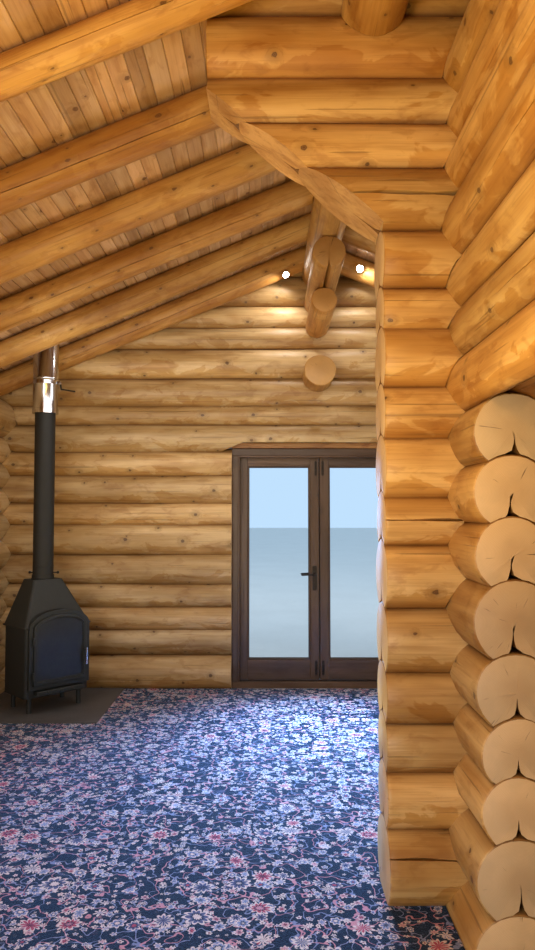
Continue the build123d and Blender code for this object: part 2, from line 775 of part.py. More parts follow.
cowl_z = floor_z + chimney_top
cowl_pieces = []
with BuildPart() as cowl_cone:
    with Locations((pipe_x, pipe_y, cowl_z + cowl_stand)):
        Cone(flue_radius + cowl_lip, cowl_tip, cowl_stand, align=(Align.CENTER, Align.CENTER, Align.MIN))
cowl_pieces.append(cowl_cone.part)
for turn in (0, 120, 240):
    post_x = pipe_x + (flue_radius - 2 * cowl_post) * cos(radians(turn))
    post_y = pipe_y + (flue_radius - 2 * cowl_post) * sin(radians(turn))
    with BuildPart() as post:
        with Locations((post_x, post_y, cowl_z + joint_gap)):
            Cylinder(cowl_post, cowl_stand - 2 * joint_gap, align=(Align.CENTER, Align.CENTER, Align.MIN))
    cowl_pieces.append(post.part)
keep("flue_cowl", *cowl_pieces)

# Spotlights on the room side of the last rafter before the door gable, one on each slope
spot_rafter_y = max(y for y in rafter_places if y < half_length)
spots = []
for side, spot_x, turn in spot_places:
    axis = Plane(origin=(side * spot_x, spot_rafter_y, axis_apex(rafter_radius) - slope * spot_x),
                 z_dir=(side * rise_cos, 0, -rise_sin))
    drop = sin(radians(turn))
    out = Vector(-side * rise_sin * drop, -cos(radians(turn)), -rise_cos * drop)
    with BuildPart() as spot:
        with BuildSketch(Plane(origin=axis.origin + out * (rafter_radius - spot_seat), z_dir=out)):
            Circle(spot_radius)
        extrude(amount=spot_seat + spot_depth, taper=spot_taper)
        with BuildSketch(axis.offset(-rafter_radius)):
            Circle(rafter_radius + joint_gap)
        extrude(amount=2 * rafter_radius, mode=Mode.SUBTRACT)
    spots.append(spot.part)
keep("spotlights", *spots)
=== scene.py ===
import math
import random
from copy import copy
from itertools import accumulate, chain, product

import bmesh
import bpy
import numpy as np
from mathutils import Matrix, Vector


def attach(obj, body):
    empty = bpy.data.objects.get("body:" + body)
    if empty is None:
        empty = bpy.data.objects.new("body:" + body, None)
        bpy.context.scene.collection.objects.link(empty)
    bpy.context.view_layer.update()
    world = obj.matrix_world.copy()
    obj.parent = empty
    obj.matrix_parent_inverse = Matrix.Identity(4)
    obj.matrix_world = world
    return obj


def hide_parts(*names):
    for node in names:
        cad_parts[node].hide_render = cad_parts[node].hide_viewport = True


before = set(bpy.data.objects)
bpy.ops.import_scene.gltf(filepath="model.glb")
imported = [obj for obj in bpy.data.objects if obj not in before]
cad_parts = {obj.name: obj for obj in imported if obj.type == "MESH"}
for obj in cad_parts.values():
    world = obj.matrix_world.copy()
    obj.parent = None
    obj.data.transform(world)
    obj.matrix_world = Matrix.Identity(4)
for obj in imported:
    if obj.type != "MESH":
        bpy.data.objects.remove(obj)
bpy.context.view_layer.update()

# Driving dimensions of the cabin in metres, the same as the frame's
SLAB = 0.150
FLOOR = 0.160
HALF_WIDTH = 2.860
HALF_LENGTH = 3.750
CROSS_Y = 0.350
INNER_X = 0.440
RISES = [0.295, 0.220, 0.195, 0.205, 0.255, 0.260, 0.190, 0.245, 0.210, 0.240, 0.170, 0.245, 0.265,
         0.195, 0.190, 0.270, 0.260]
SEAT = 0.085
SIDES = (("left", -1), ("right", 1))
GABLE_TAIL = 0.360
EAVES_TAIL = 0.400
INNER_TAIL = 0.460
PLATE_LEVEL = 10
PLATE_RADIUS = 0.185
RIDGE_RADIUS = 0.130
RIDGE_SEAT = 0.025
CORBELS = {12: 3.270, 14: 2.790, 15: 2.330}
PIER_X = 0.040
HAUNCH_LOW = FLOOR + 2.750
HAUNCH_HIGH = FLOOR + 3.310
HAUNCH_X = -0.690
HAUNCH_LEVEL = 12
DOOR_LEVEL = 9
INNER_PIER_Y = -0.110
INNER_JAMB_Y = -1.010
PITCH = math.radians(22.7)
SLOPE = math.tan(PITCH)
COS, SIN = math.cos(PITCH), math.sin(PITCH)
CEILING_APEX = FLOOR + 3.896
RAFTER_RADIUS = 0.095
MIDDLE_RADIUS = 0.074
RAFTER_FLAT = 0.003
RAFTER_SPACING = 0.698
RAFTER_COUNT = 6
RAFTER_RUN = 3.380
ROOF_RUN = 3.430
ROOF_HALF = 4.300
BOARD_THICK = 0.022
CORE_TOP = 0.162
COVER_RUN = 3.480
COVER_HALF = 4.350
TRIM_THICK = 0.025
DOOR_X = 0.020
DOOR_WIDTH = 1.560
DOOR_HEAD = FLOOR + 2.150
HEAD_LOW = DOOR_HEAD - 0.115
SILL_TOP = FLOOR + 0.045
FRAME_IN, STOP_OUT = 3.690, 3.749
SILL_OUT = 3.870
SILL_TRACK = 3.722, 3.748
LEAF_IN, LEAF_OUT = 3.754, 3.810
LEAF_LOW, LEAF_HIGH = 0.210, 2.190
LEAF_WIDTH = 0.716
STILE, TOP_RAIL, BOTTOM_RAIL = 0.078, 0.083, 0.173
BEAD = 0.013
KNUCKLE = 0.045
HANDLE_Z = FLOOR + 0.980
PIPE_X, PIPE_Y = -2.258, 3.150
PIPE_AXIS = (PIPE_X, PIPE_Y, 0)
PIPE_RADIUS = 0.081
FLUE_RADIUS = 0.100
FLUE_U = -PIPE_X / COS
BAND = 2.738
PIPE_JOINT = ((0, -0.004), (0.0017, -0.002), (0.0017, 0.002), (0, 0.004))
FLUE_JOINT = ((0, -0.020), (0.0025, -0.016), (0.0025, -0.003), (0.0005, 0), (0.0025, 0.003), (0.0025, 0.016),
              (0, 0.020))
STOVE_TURN = math.radians(45)
STOVE_FRONT = 0.260
ARCH_FRONT = 0.030
SPOT_RAFTER = 5
SPOT_LAMP = 0.150
SPOTS = ((-1, 0.320, 50), (1, 0.360, 15))
FAR = 10.0

# Clearances, welding distance and how uneven the logs are
FIT = 0.0005
WELD = 0.00012
GAP = 0.0008
WOBBLE = 0.0035
SKIN_WAVE = 0.0020
END_ROUND = 0.006
RING_STEP = 0.006
CREASE = math.radians(34)
GRAIN_SHIFT = 40.0
KERF = {0.50: 0.85, 0.522: 0.40, 0.482: 0.46, 0.56: 0.17, 0.44: 0.13}

# Boards and shingles
BOARD_COVER = 0.0865
BOARD_GAP, BOARD_END = 0.0014, 0.0004
FLUE_HOLE_U, FLUE_HOLE_Y = 0.112, 0.103
SHINGLE_WIDTH = 0.333
SHINGLE_STEP = 0.145
SHINGLE_GAP = 0.003
CAP_STEP = 0.15
slope_length = ROOF_RUN / COS
cover_length = COVER_RUN / COS
trim_end = slope_length + TRIM_THICK / COS


# Shader helpers
class Wire:
    """A node's output, which can be added, multiplied and so on with numbers and other wires."""

    def __init__(self, look, socket):
        self.look, self.socket = look, socket

    def __add__(self, other):
        return self.look.calc("ADD", self, other)

    def __sub__(self, other):
        return self.look.calc("SUBTRACT", self, other)

    def __rsub__(self, other):
        return self.look.calc("SUBTRACT", other, self)

    def __mul__(self, other):
        return self.look.calc("MULTIPLY", self, other)

    def __truediv__(self, other):
        return self.look.calc("DIVIDE", self, other)


class Look:
    """A material while its nodes are laid."""

    def __init__(self, name):
        self.material = bpy.data.materials.new(name)
        self.material.use_nodes = True
        self.tree = self.material.node_tree
        self.tree.nodes.clear()
        self.shader = self.tree.nodes.new("ShaderNodeBsdfPrincipled")
        output = self.tree.nodes.new("ShaderNodeOutputMaterial")
        self.tree.links.new(self.shader.outputs[0], output.inputs[0])

    def put(self, socket, value):
        """Link a wire, or set the socket's value."""
        if isinstance(value, Wire):
            self.tree.links.new(value.socket, socket)
        else:
            socket.default_value = (*value, 1) if socket.type == "RGBA" else value

    def finish(self, **values):
        """Set inputs of the shader by name, and give the material."""
        for key, value in values.items():
            self.put(self.shader.inputs[key.replace("_", " ")], value)
        return self.material

    def node(self, kind, inputs=None, out=0, **settings):
        """Add a node with inputs by number or name; gives one output, or a list for a tuple of them."""
        made = self.tree.nodes.new("ShaderNode" + kind)
        for key, value in settings.items():
            setattr(made, key, value)
        for key, value in (inputs or {}).items():
            self.put(made.inputs[key], value)
        wires = [Wire(self, made.outputs[key]) for key in (out if isinstance(out, tuple) else [out])]
        return wires if isinstance(out, tuple) else wires[0]

    def calc(self, operation, *values):
        return self.node("Math", dict(enumerate(values)), operation=operation)

    def vector(self, operation, *values):
        out = "Value" if operation == "LENGTH" else 0
        return self.node("VectorMath", dict(enumerate(values)), out, operation=operation)

    def mix(self, factor, first, second, blend="MIX"):
        return self.node("Mix", {0: factor, 6: first, 7: second}, 2, data_type="RGBA", blend_type=blend)

    def tint(self, color, amount, tint):
        return self.mix(amount, color, tint, "MULTIPLY")

    def step(self, value, low, high):
        """0 below low, 1 above high, smooth between."""
        return self.node("MapRange", {0: value, 1: low, 2: high}, interpolation_type="SMOOTHSTEP")

    def over(self, value, limit):
        return self.calc("GREATER_THAN", value, limit)

    def xyz(self, *values):
        return self.node("CombineXYZ", dict(enumerate(values)))

    def split(self, vector, kind="XYZ"):
        return self.node("Separate" + kind, {0: vector}, (0, 1, 2))

    def scaled(self, vector, scale, offset=0.0):
        """Vector times a scale for each axis, moved along its first axis."""
        return self.vector("MULTIPLY_ADD", vector, scale, self.xyz(offset, 0.0, 0.0))

    def noise(self, vector, scale=1.0, detail=4.0, roughness=0.55, distortion=0.0, out=0):
        return self.node("TexNoise", {"Vector": vector, "Scale": scale, "Detail": detail,
                                      "Roughness": roughness, "Distortion": distortion}, out)

    def bump(self, height, distance, strength=0.6):
        self.finish(Normal=self.node("Bump", {"Strength": strength, "Distance": distance, "Height": height}))

    def attribute(self, name):
        return self.node("Attribute", None, "Vector", attribute_name=name)

    def place(self):
        return self.node("TexCoord", None, "Object")


def shade(color, amount):
    return tuple(c * amount for c in color)


def wood(name, light, deep, knot_color=(0.2, 0.1, 0.05), knots=0.5, gloss=0.5, ends=False, flat=False,
         variety=0.3, underside_darkening=0.0, painted_seam_shade=0.0):
    """Oiled pine. Reads grain (along, across, up from the heart) and tone (three dice) off the mesh."""
    look = Look(name)
    mix, step = look.mix, look.step
    grain = look.attribute("grain")
    tone = look.split(look.attribute("tone"))
    along, across, up = look.split(grain)
    dice = tone[2] * 37.0
    angle = look.calc("ARCTAN2", across, up)
    skin = look.xyz(along, across if flat else angle * 0.14, tone[2])
    radius = look.vector("LENGTH", look.xyz(0.0, across, up))

    def grained(length, girth, *settings):
        """Noise drawn out along the grain, another for each log."""
        return look.noise(look.scaled(grain, (length, girth, girth), dice), 1.0, *settings)

    # Knots: one to a cell of the unrolled skin, in some cells only
    cells = {"Vector": look.scaled(skin, (4.2, 5.2, 0.0), dice), "Scale": 1.0, "Randomness": 0.9}
    distance, cell = look.node("TexVoronoi", cells, ("Distance", "Color"), voronoi_dimensions="2D")
    pick = look.split(cell, "Color")
    chosen = look.over(pick[0], 1.0 - knots)
    ragged = look.noise(look.scaled(skin, (55.0, 75.0, 0.0), dice), 1.0, 2.0) * 0.07 - 0.035
    near = (distance + ragged) / (pick[1] * 0.045 + 0.028)
    knot = (1.0 - step(near, 0.7, 1.15)) * chosen
    halo = (1.0 - step(near, 0.9, 4.5)) * chosen

    bent = look.vector("ADD", look.scaled(grain, (1.5, 38.0, 38.0), dice), look.xyz(0.0, halo * 2.2, 0.0))
    fibre = look.noise(bent, 1.0, 5.0, 0.6, 0.4)
    broad = grained(0.9, 7.0, 3.0, 0.5, 0.5)
    patch = grained(2.5, 5.0, 2.0, 0.5, 0.2)
    stain = grained(6.0, 15.0, 4.0, 0.6, 0.6)
    hair = grained(3.0, 170.0, 3.0, 0.7)
    # Darker and more golden towards the underside of each round log, with a ragged edge; flat wood gets only
    # the ragged noise
    under = up * (0.0 if flat else -2.0) + grained(3.4, 7.0, 4.0, 0.55, 0.9)
    crack = step(look.noise(look.scaled(skin, (1.2, 62.0, 20.0), dice), 1.0, 2.0, 0.4), 0.675, 0.71)

    color = mix(step(broad, 0.34, 0.68), light, deep)
    for value, low, high, amount, tint in ((fibre, 0.45, 0.68, 0.50, (0.66, 0.54, 0.40)),
                                           (under, 0.615, 0.66, underside_darkening, (0.78, 0.64, 0.40)),
                                           (hair, 0.50, 0.80, 0.50, (0.62, 0.50, 0.38)),
                                           (stain, 0.52, 0.66, 0.50, (0.68, 0.56, 0.42)),
                                           (patch, 0.52, 0.72, 0.60, (0.74, 0.62, 0.46)),
                                           (1.0 - patch, 0.55, 0.72, 0.55, (1.20, 1.25, 1.38))):
        color = look.tint(color, step(value, low, high) * amount, tint)
    lift = tone[0] * variety + (1.0 - variety / 2)
    green, blue = tone[1] * 0.08 + (lift - 0.04), tone[1] * 0.2 + (lift - 0.1)
    cast = look.node("CombineColor", {0: lift, 1: green, 2: blue})
    color = look.tint(color, 1.0, cast)
    color = mix(halo * 0.45, color, shade(deep, 0.6))
    ring = look.calc("SINE", near * 11.0) * 0.12 + 0.82
    color = mix(knot * ring, color, knot_color)
    color = mix(crack * 0.45, color, shade(deep, 0.35))

    if painted_seam_shade:
        # Painted shade where a log meets its neighbours, at the edges of the seat between them
        seat_height = look.calc("SQRT", look.calc("MAXIMUM", radius * radius - SEAT**2, 0.0))
        clear = seat_height - look.calc("ABSOLUTE", up)
        for width, amount in ((0.034, 0.5), (0.009, 0.7)):
            color = look.tint(color, (1.0 - step(clear, 0.0, width)) * (amount * painted_seam_shade), (0.42, 0.30, 0.20))

    if ends:
        turned = grained(0.2, 9.0, 3.0, 0.5)
        rings = look.calc("SINE", (turned * 0.016 + radius) * 1400.0)
        color = mix(step(rings, 0.0, 0.9) * 0.30, light, deep)
        color = mix(step(turned, 0.45, 0.65) * 0.4, color, shade(light, 0.80))
        color = mix((1.0 - step(radius, 0.02, 0.09)) * 0.35, color, deep)
        spokes = look.noise(look.xyz(angle * 9.0, radius * 5.0, dice), 1.0, 3.0, 0.6)
        crack = step(spokes, 0.68, 0.73) * step(radius, 0.01, 0.04)
        color = mix(crack * 0.75, color, shade(deep, 0.25))
        color = look.tint(color, 1.0, cast)
    look.bump(halo * 0.6 + (broad * 0.8 + (fibre * 0.22 + hair * 0.10 - crack)), 0.004)
    return look.finish(Base_Color=color, Roughness=fibre * 0.25 + (gloss - 0.1), Specular_IOR_Level=0.45)


def plain(name, color, second, scale, rough, rough_by=0.15, metal=0.0, lift=0.2, distance=0.001,
          stretch=(1, 1, 1)):
    """Material of two mixed tones with a fine grain; for stone, metal, rubber and paint."""
    look = Look(name)
    place = look.vector("MULTIPLY", look.place(), tuple(scale * s for s in stretch))
    grainy = look.noise(place, 9.0, 3.0, 0.7) * 0.4 + look.noise(place, 1.0, 5.0, 0.6) * 0.6
    look.bump(grainy, distance, lift)
    return look.finish(Base_Color=look.mix(look.step(grainy, 0.3, 0.7), color, second),
                       Roughness=grainy * rough_by + (rough - rough_by / 2), Metallic=metal)


def carpet_material():
    """Dense traditional flowers: rosettes in four sizes and scrolls on a navy ground."""
    look = Look("carpet_pile")
    mix, step, over = look.mix, look.step, look.over
    flat = look.vector("MULTIPLY", look.place(), (1.0, 1.0, 0.0))
    drift = look.vector("SUBTRACT", look.noise(flat, 9.0, 2.0, 0.5, out="Color"), (0.5, 0.5, 0.5))
    curl = look.vector("MULTIPLY_ADD", drift, (0.05, 0.05, 0.0), flat)
    navy = (0.006, 0.004, 0.017)
    crimson, cream, blue = (0.48, 0.06, 0.09), (0.80, 0.67, 0.62), (0.24, 0.28, 0.48)
    pink, dusk = (0.64, 0.28, 0.32), (0.10, 0.10, 0.21)

    # Scrolls: thin lines along the level lines of a noise
    color = navy
    for scale, low, tone in ((12.0, 0.009, blue), (9.0, 0.007, pink)):
        level = look.noise(look.vector("ADD", curl, (scale, 3.0, 0.0)), scale, 2.0, 0.4)
        color = mix(1.0 - step(look.calc("ABSOLUTE", level - 0.5), low, low * 1.6), color, tone)

    # Flowers at the points of four cell patterns, with petals round a ring and a heart
    for scale, petals, offset, first, second, middle_tone, sparse in (
            (32.0, 5.0, 1.3, cream, blue, crimson, 0.32), (20.0, 6.0, 4.1, pink, blue, crimson, 0.45),
            (13.0, 7.0, 8.6, dusk, blue, crimson, 0.50), (8.0, 10.0, 6.2, crimson, dusk, pink, 0.62)):
        where = look.vector("MULTIPLY_ADD", curl, (scale, scale, 0.0), (offset, offset * 0.7, 0.0))
        far, cell, middle = look.node("TexVoronoi", {"Vector": where, "Scale": 1.0, "Randomness": 0.75},
                                      ("Distance", "Color", "Position"))
        local = look.split(look.vector("SUBTRACT", where, middle))
        pick = look.split(cell, "Color")
        turn = pick[2] * 6.28 + look.calc("ARCTAN2", local[0], local[1])
        petal = look.calc("ABSOLUTE", look.calc("SINE", turn * (petals / 2)))
        inside = far / (petal * 0.17 + (pick[1] * 0.10 + 0.20))
        shown = over(pick[0], sparse)
        body = (1.0 - step(inside, 0.94, 1.04)) * shown
        color = mix(body, color, mix(over(pick[1], 0.5), first, second))
        color = mix(step(inside, 0.74, 0.80) * body, color, mix(over(pick[2], 0.5), cream, navy))
        color = mix((1.0 - step(inside, 0.44, 0.50)) * shown, color, navy)
        heart = mix(over(pick[1], 0.6), middle_tone, cream)
        color = mix((1.0 - step(inside, 0.30, 0.36)) * shown, color, heart)
    tuft = look.node("TexVoronoi", {"Vector": flat, "Scale": 330.0}, "Distance")
    fuzz = look.noise(flat, 60.0, 5.0, 0.7)
    # Painted shade in the hollows between tufts, where the bump is low, mixed with random lighter and darker
    # fuzz
    tuft_shade_and_fuzz = fuzz * 0.5 + (tuft * -0.5 + 1.0)
    look.bump(tuft * -1.0 + fuzz, 0.004, 0.8)
    return look.finish(Base_Color=look.tint(color, 1.0, look.xyz(tuft_shade_and_fuzz, tuft_shade_and_fuzz, tuft_shade_and_fuzz)), Roughness=0.95,
                       Specular_IOR_Level=0.15, Sheen_Weight=0.45, Sheen_Roughness=0.3,
                       Sheen_Tint=(0.18, 0.50, 1.0))


def glass_material():
    look = Look("door_glass")
    smear = look.noise(look.place(), 3.0, 3.0, 0.5)
    return look.finish(Base_Color=(0.95, 0.99, 0.98), Roughness=smear * 0.02, Transmission_Weight=1.0,
                       IOR=1.02, Alpha=0.25)


log_side = wood("log_side", (0.67, 0.425, 0.155), (0.44, 0.230, 0.060), (0.10, 0.040, 0.015), 0.40, 0.45,
                underside_darkening=0.85, painted_seam_shade=0.9)
log_end = wood("log_end", (0.64, 0.44, 0.23), (0.42, 0.25, 0.11), gloss=0.55, ends=True)
oiled_end = wood("oiled_end", (0.52, 0.29, 0.095), (0.34, 0.17, 0.045), ends=True)
cut_face = wood("cut_face", (0.62, 0.365, 0.155), (0.44, 0.225, 0.08), knots=0.2)
wall_side = wood("wall_side", (0.62, 0.445, 0.220), (0.41, 0.258, 0.098), (0.09, 0.042, 0.02), 0.50, 0.42,
                 underside_darkening=0.75, painted_seam_shade=0.8)
pole_side = wood("pole_side", (0.62, 0.360, 0.110), (0.42, 0.205, 0.048), (0.11, 0.042, 0.015), 0.55, 0.45,
                 underside_darkening=0.5)
board_wood = wood("board_wood", (0.60, 0.395, 0.230), (0.43, 0.250, 0.125), (0.12, 0.050, 0.028), flat=True,
                  variety=0.34)
trim_wood = wood("trim_wood", (0.33, 0.165, 0.075), (0.20, 0.09, 0.038), (0.06, 0.02, 0.01), 0.3, flat=True)
door_wood = wood("door_wood", (0.105, 0.062, 0.037), (0.062, 0.036, 0.022), (0.03, 0.016, 0.010), 0.08, 0.38,
                 flat=True, variety=0.25)
concrete = plain("concrete", (0.50, 0.49, 0.46), (0.36, 0.35, 0.33), 4.0, 0.9, distance=0.004, lift=0.5)
slate = plain("slate", (0.060, 0.062, 0.066), (0.10, 0.10, 0.105), 6.0, 0.55, distance=0.003, lift=0.5)
core_look = plain("core_look", (0.55, 0.36, 0.19), (0.42, 0.26, 0.13), 5.0, 0.8, stretch=(1, 0.1, 1))
shingle = plain("shingle", (0.050, 0.047, 0.046), (0.11, 0.10, 0.095), 90.0, 0.95, distance=0.002, lift=0.8)
bronze = plain("bronze", (0.018, 0.015, 0.013), (0.045, 0.036, 0.028), 40.0, 0.42, metal=0.8)
stove_black = plain("stove_black", (0.010, 0.014, 0.014), (0.018, 0.023, 0.023), 14.0, 0.58, distance=0.0012,
                    lift=0.35)
pipe_black = plain("pipe_black", (0.005, 0.006, 0.005), (0.009, 0.010, 0.009), 14.0, 0.62, distance=0.0012,
                   lift=0.35)
fire_glass = plain("fire_glass", (0.008, 0.011, 0.011), (0.020, 0.023, 0.022), 5.0, 0.30, rough_by=0.1,
                   lift=0.05)
chrome = plain("chrome", (0.70, 0.71, 0.73), (0.56, 0.57, 0.60), 5.0, 0.15, metal=1.0, stretch=(1, 1, 0.1),
               lift=0.12)
seal = plain("seal", (0.02, 0.02, 0.02), (0.03, 0.03, 0.03), 60.0, 0.7)
carpet_pile = carpet_material()
door_glass = glass_material()
lamp_glow = Look("lamp_glow").finish(Emission_Color=(1.0, 0.93, 0.82), Emission_Strength=60.0)


# Mesh helpers
class Pile:
    """Points and faces of one piece while it is made, with grain and tone for each point."""

    def __init__(self):
        self.points, self.grains, self.tones, self.faces, self.slots = [], [], [], [], []
        self.count = 0

    def add(self, points, faces, slots=0, grain=None, tone=(0.5, 0.5, 0.5), place=None):
        points = np.asarray(place(points) if place else points, float)
        self.points.append(points)
        self.grains.append(points if grain is None else np.asarray(grain, float))
        self.tones.append(np.tile(tone, (len(points), 1)))
        self.faces += [tuple(self.count + i for i in face) for face in faces]
        self.slots += slots if isinstance(slots, list) else [slots] * len(faces)
        self.count += len(points)

    def box(self, low, high, along=0, bevel=0.002, slot=0, dice=None, place=None):
        """Block with small bevels; its grain runs along one axis."""
        low, high = np.minimum(low, high), np.maximum(low, high)
        corners = list(product((0, 1), repeat=3))
        points, index = [], {}
        for corner, axis in product(corners, range(3)):
            inset = [0 if i == axis else bevel for i in range(3)]
            index[corner, axis] = len(points)
            points.append([high[i] - inset[i] if corner[i] else low[i] + inset[i] for i in range(3)])
        faces = [tuple(index[corner, axis] for axis in range(3)) for corner in corners]
        for axis in range(3):
            a, b = [i for i in range(3) if i != axis]

            def at(side, u, v):
                corner = [0, 0, 0]
                corner[axis], corner[a], corner[b] = side, u, v
                return tuple(corner)

            for side in (0, 1):
                faces.append(tuple(index[at(side, u, v), axis] for u, v in ((0, 0), (1, 0), (1, 1), (0, 1))))
            for u, v in product((0, 1), repeat=2):
                near, far = at(0, u, v), at(1, u, v)
                faces.append((index[near, a], index[far, a], index[far, b], index[near, b]))
        points = np.array(points)
        middle = (low + high) / 2
        others = [i for i in range(3) if i != along]
        others.sort(key=lambda i: -(high - low)[i])
        dice = dice or random.Random(str(np.round(low, 4)))
        grain = [points[:, along] + dice.uniform(0, 60)] + [points[:, i] - middle[i] for i in others]
        self.add(points, faces, slot, np.stack(grain, 1), [dice.random() for _ in range(3)], place)

    def turn(self, profile, centre=(0, 0, 0), axis=2, steps=28, slot=0, place=None):
        """Turned part: (radius, height) pairs round an axis. Start and end with radius 0 to close it."""
        angles = np.arange(steps) * 2 * math.pi / steps
        points = np.concatenate([np.stack([radius * np.cos(angles), radius * np.sin(angles),
                                           np.full(steps, height)], 1) for radius, height in profile])
        points = points[:, {0: [2, 0, 1], 1: [0, 2, 1], 2: [0, 1, 2]}[axis]] + np.asarray(centre)
        self.add(points, grid_faces(len(profile), steps), slot, place=place)

    def tube(self, path, radius, steps=10, slot=0, place=None):
        """Round bar along a path of points."""
        path = [Vector(p) for p in path]
        rows = []
        for i, point in enumerate(path):
            ahead = (path[min(i + 1, len(path) - 1)] - path[max(i - 1, 0)]).normalized()
            side = (side - ahead * side.dot(ahead) if i else ahead.orthogonal()).normalized()
            other = ahead.cross(side)
            size = radius[i] if isinstance(radius, (list, tuple)) else radius
            rows += [point + size * (side * math.cos(a) + other * math.sin(a))
                     for a in np.arange(steps) * 2 * math.pi / steps]
        points = np.array([path[0]] * steps + rows + [path[-1]] * steps)
        self.add(points, grid_faces(len(path) + 2, steps), slot, place=place)

    def outline(self, shape, low, high, slot=0, place=None, hole=None, bevel=0.0):
        """Flat shape with thickness; with a hole of as many points it is a frame."""
        shape = np.asarray(shape, float)
        count = len(shape)
        middle = shape.mean(0)
        pull = (shape - middle) / np.linalg.norm(shape - middle, axis=1)[:, None] * bevel
        rows = [(shape, low), (shape, high - bevel), (shape - pull, high)]
        if hole is not None:
            hole = np.asarray(hole, float)
            rows += [(hole + pull, high), (hole, high - bevel), (hole, low), (shape, low)]
        else:
            centre = np.tile(middle, (count, 1))
            rows = [(centre, low)] + rows + [(centre, high)]
        points = np.concatenate([np.column_stack([row, np.full(count, z)]) for row, z in rows])
        self.add(points, grid_faces(len(rows), count), slot, place=place)


def grid_faces(rows, size):
    """Faces between closed rows of as many points each."""
    return [(i * size + j, i * size + (j + 1) % size, (i + 1) * size + (j + 1) % size, (i + 1) * size + j)
            for i in range(rows - 1) for j in range(size)]


def piece(name, pile, materials, replaces=(), body="root"):
    """Make one object of a pile and let it ride on a body."""
    mesh = bpy.data.meshes.new(name)
    mesh.from_pydata(np.concatenate(pile.points).tolist(), [], pile.faces)
    for material in materials:
        mesh.materials.append(material)
    mesh.polygons.foreach_set("material_index", pile.slots)
    for label, values in (("grain", pile.grains), ("tone", pile.tones)):
        layer = mesh.attributes.new(label, "FLOAT_VECTOR", "POINT")
        layer.data.foreach_set("vector", np.concatenate(values).astype(np.float32).ravel())
    clean = bmesh.new()
    clean.from_mesh(mesh)
    bmesh.ops.remove_doubles(clean, verts=clean.verts, dist=WELD)
    bmesh.ops.dissolve_degenerate(clean, edges=clean.edges, dist=0.0001)
    bmesh.ops.recalc_face_normals(clean, faces=clean.faces)
    for face in clean.faces:
        face.smooth = True
    for edge in clean.edges:
        edge.smooth = len(edge.link_faces) == 2 and edge.calc_face_angle(0) < CREASE
    clean.to_mesh(mesh)
    clean.free()
    made = bpy.data.objects.new(name, mesh)
    bpy.context.scene.collection.objects.link(made)
    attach(made, body)
    if replaces:
        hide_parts(*replaces)


def dress(name, material):
    """Give a CAD node a procedural material."""
    mesh = bpy.data.objects[name].data
    mesh.materials.clear()
    mesh.materials.append(material)


# Round logs. A log has its own frame: s runs along it, y across, z up
class Log:
    """One log: its line, its round, and what is cut from it."""

    def __init__(self, start, end, across, height, radius, seed, spacing=0.26):
        self.start, self.end, self.across, self.height, self.radius = start, end, across, height, radius
        self.below, self.notches, self.checks = None, [], []
        self.floor, self.flat_top = -FAR, FAR
        self.ceiling = self.floor_line = None
        self.plumb = 0.0
        self.square = (False, False)
        self.spacing = spacing
        self.dice = random.Random(seed)
        self.phase = [self.dice.uniform(0, 6.28) for _ in range(8)]
        self.tone = [self.dice.random() for _ in range(3)]
        self.taper = self.dice.choice((-1, 1)) * self.dice.uniform(0.0, 0.008)

    def round_at(self, s):
        """Centre across, centre height and radius along the log."""
        s = np.asarray(s, float)
        p = self.phase
        across = self.across + WOBBLE * np.sin(1.1 * s + p[0]) + 0.4 * WOBBLE * np.sin(3.1 * s + p[1])
        height = self.height + 0.6 * WOBBLE * np.sin(0.9 * s + p[2])
        radius = self.radius * (1 + self.taper * s / 3.0) + 0.5 * WOBBLE * np.sin(2.2 * s + p[3])
        return across, height, radius

    def part(self, start, end, square=(False, False)):
        """The same log between two other ends."""
        out = copy(self)
        out.start, out.end, out.square = start, end, square
        out.notches = [n for n in self.notches if start - n[2] < n[0] < end + n[2]]
        out.checks = [c for c in self.checks if c[0] < end and c[1] > start]
        return out


def stations(log):
    """Places along a log: even steps, closer over each notch and at the ends."""
    places = list(np.arange(log.start, log.end, log.spacing))
    for at, _, radius in log.notches:
        places += [at + radius * math.sin(math.radians(a)) for a in (-88, -70, -50, -25, 0, 25, 50, 70, 88)]
        places += [at - radius - 0.004, at + radius + 0.004]
    for low, high, *_ in log.checks:
        places += list(np.linspace(low, high, 12))
    kept = [log.start]
    if not log.square[0]:
        kept += [log.start + END_ROUND * 0.4, log.start + END_ROUND]
    for place in sorted(places):
        if place - kept[-1] > RING_STEP and place < log.end - 2 * RING_STEP:
            kept.append(place)
    tail = [log.end] if log.square[1] else [log.end - END_ROUND, log.end - END_ROUND * 0.4, log.end]
    return np.array(kept + tail)


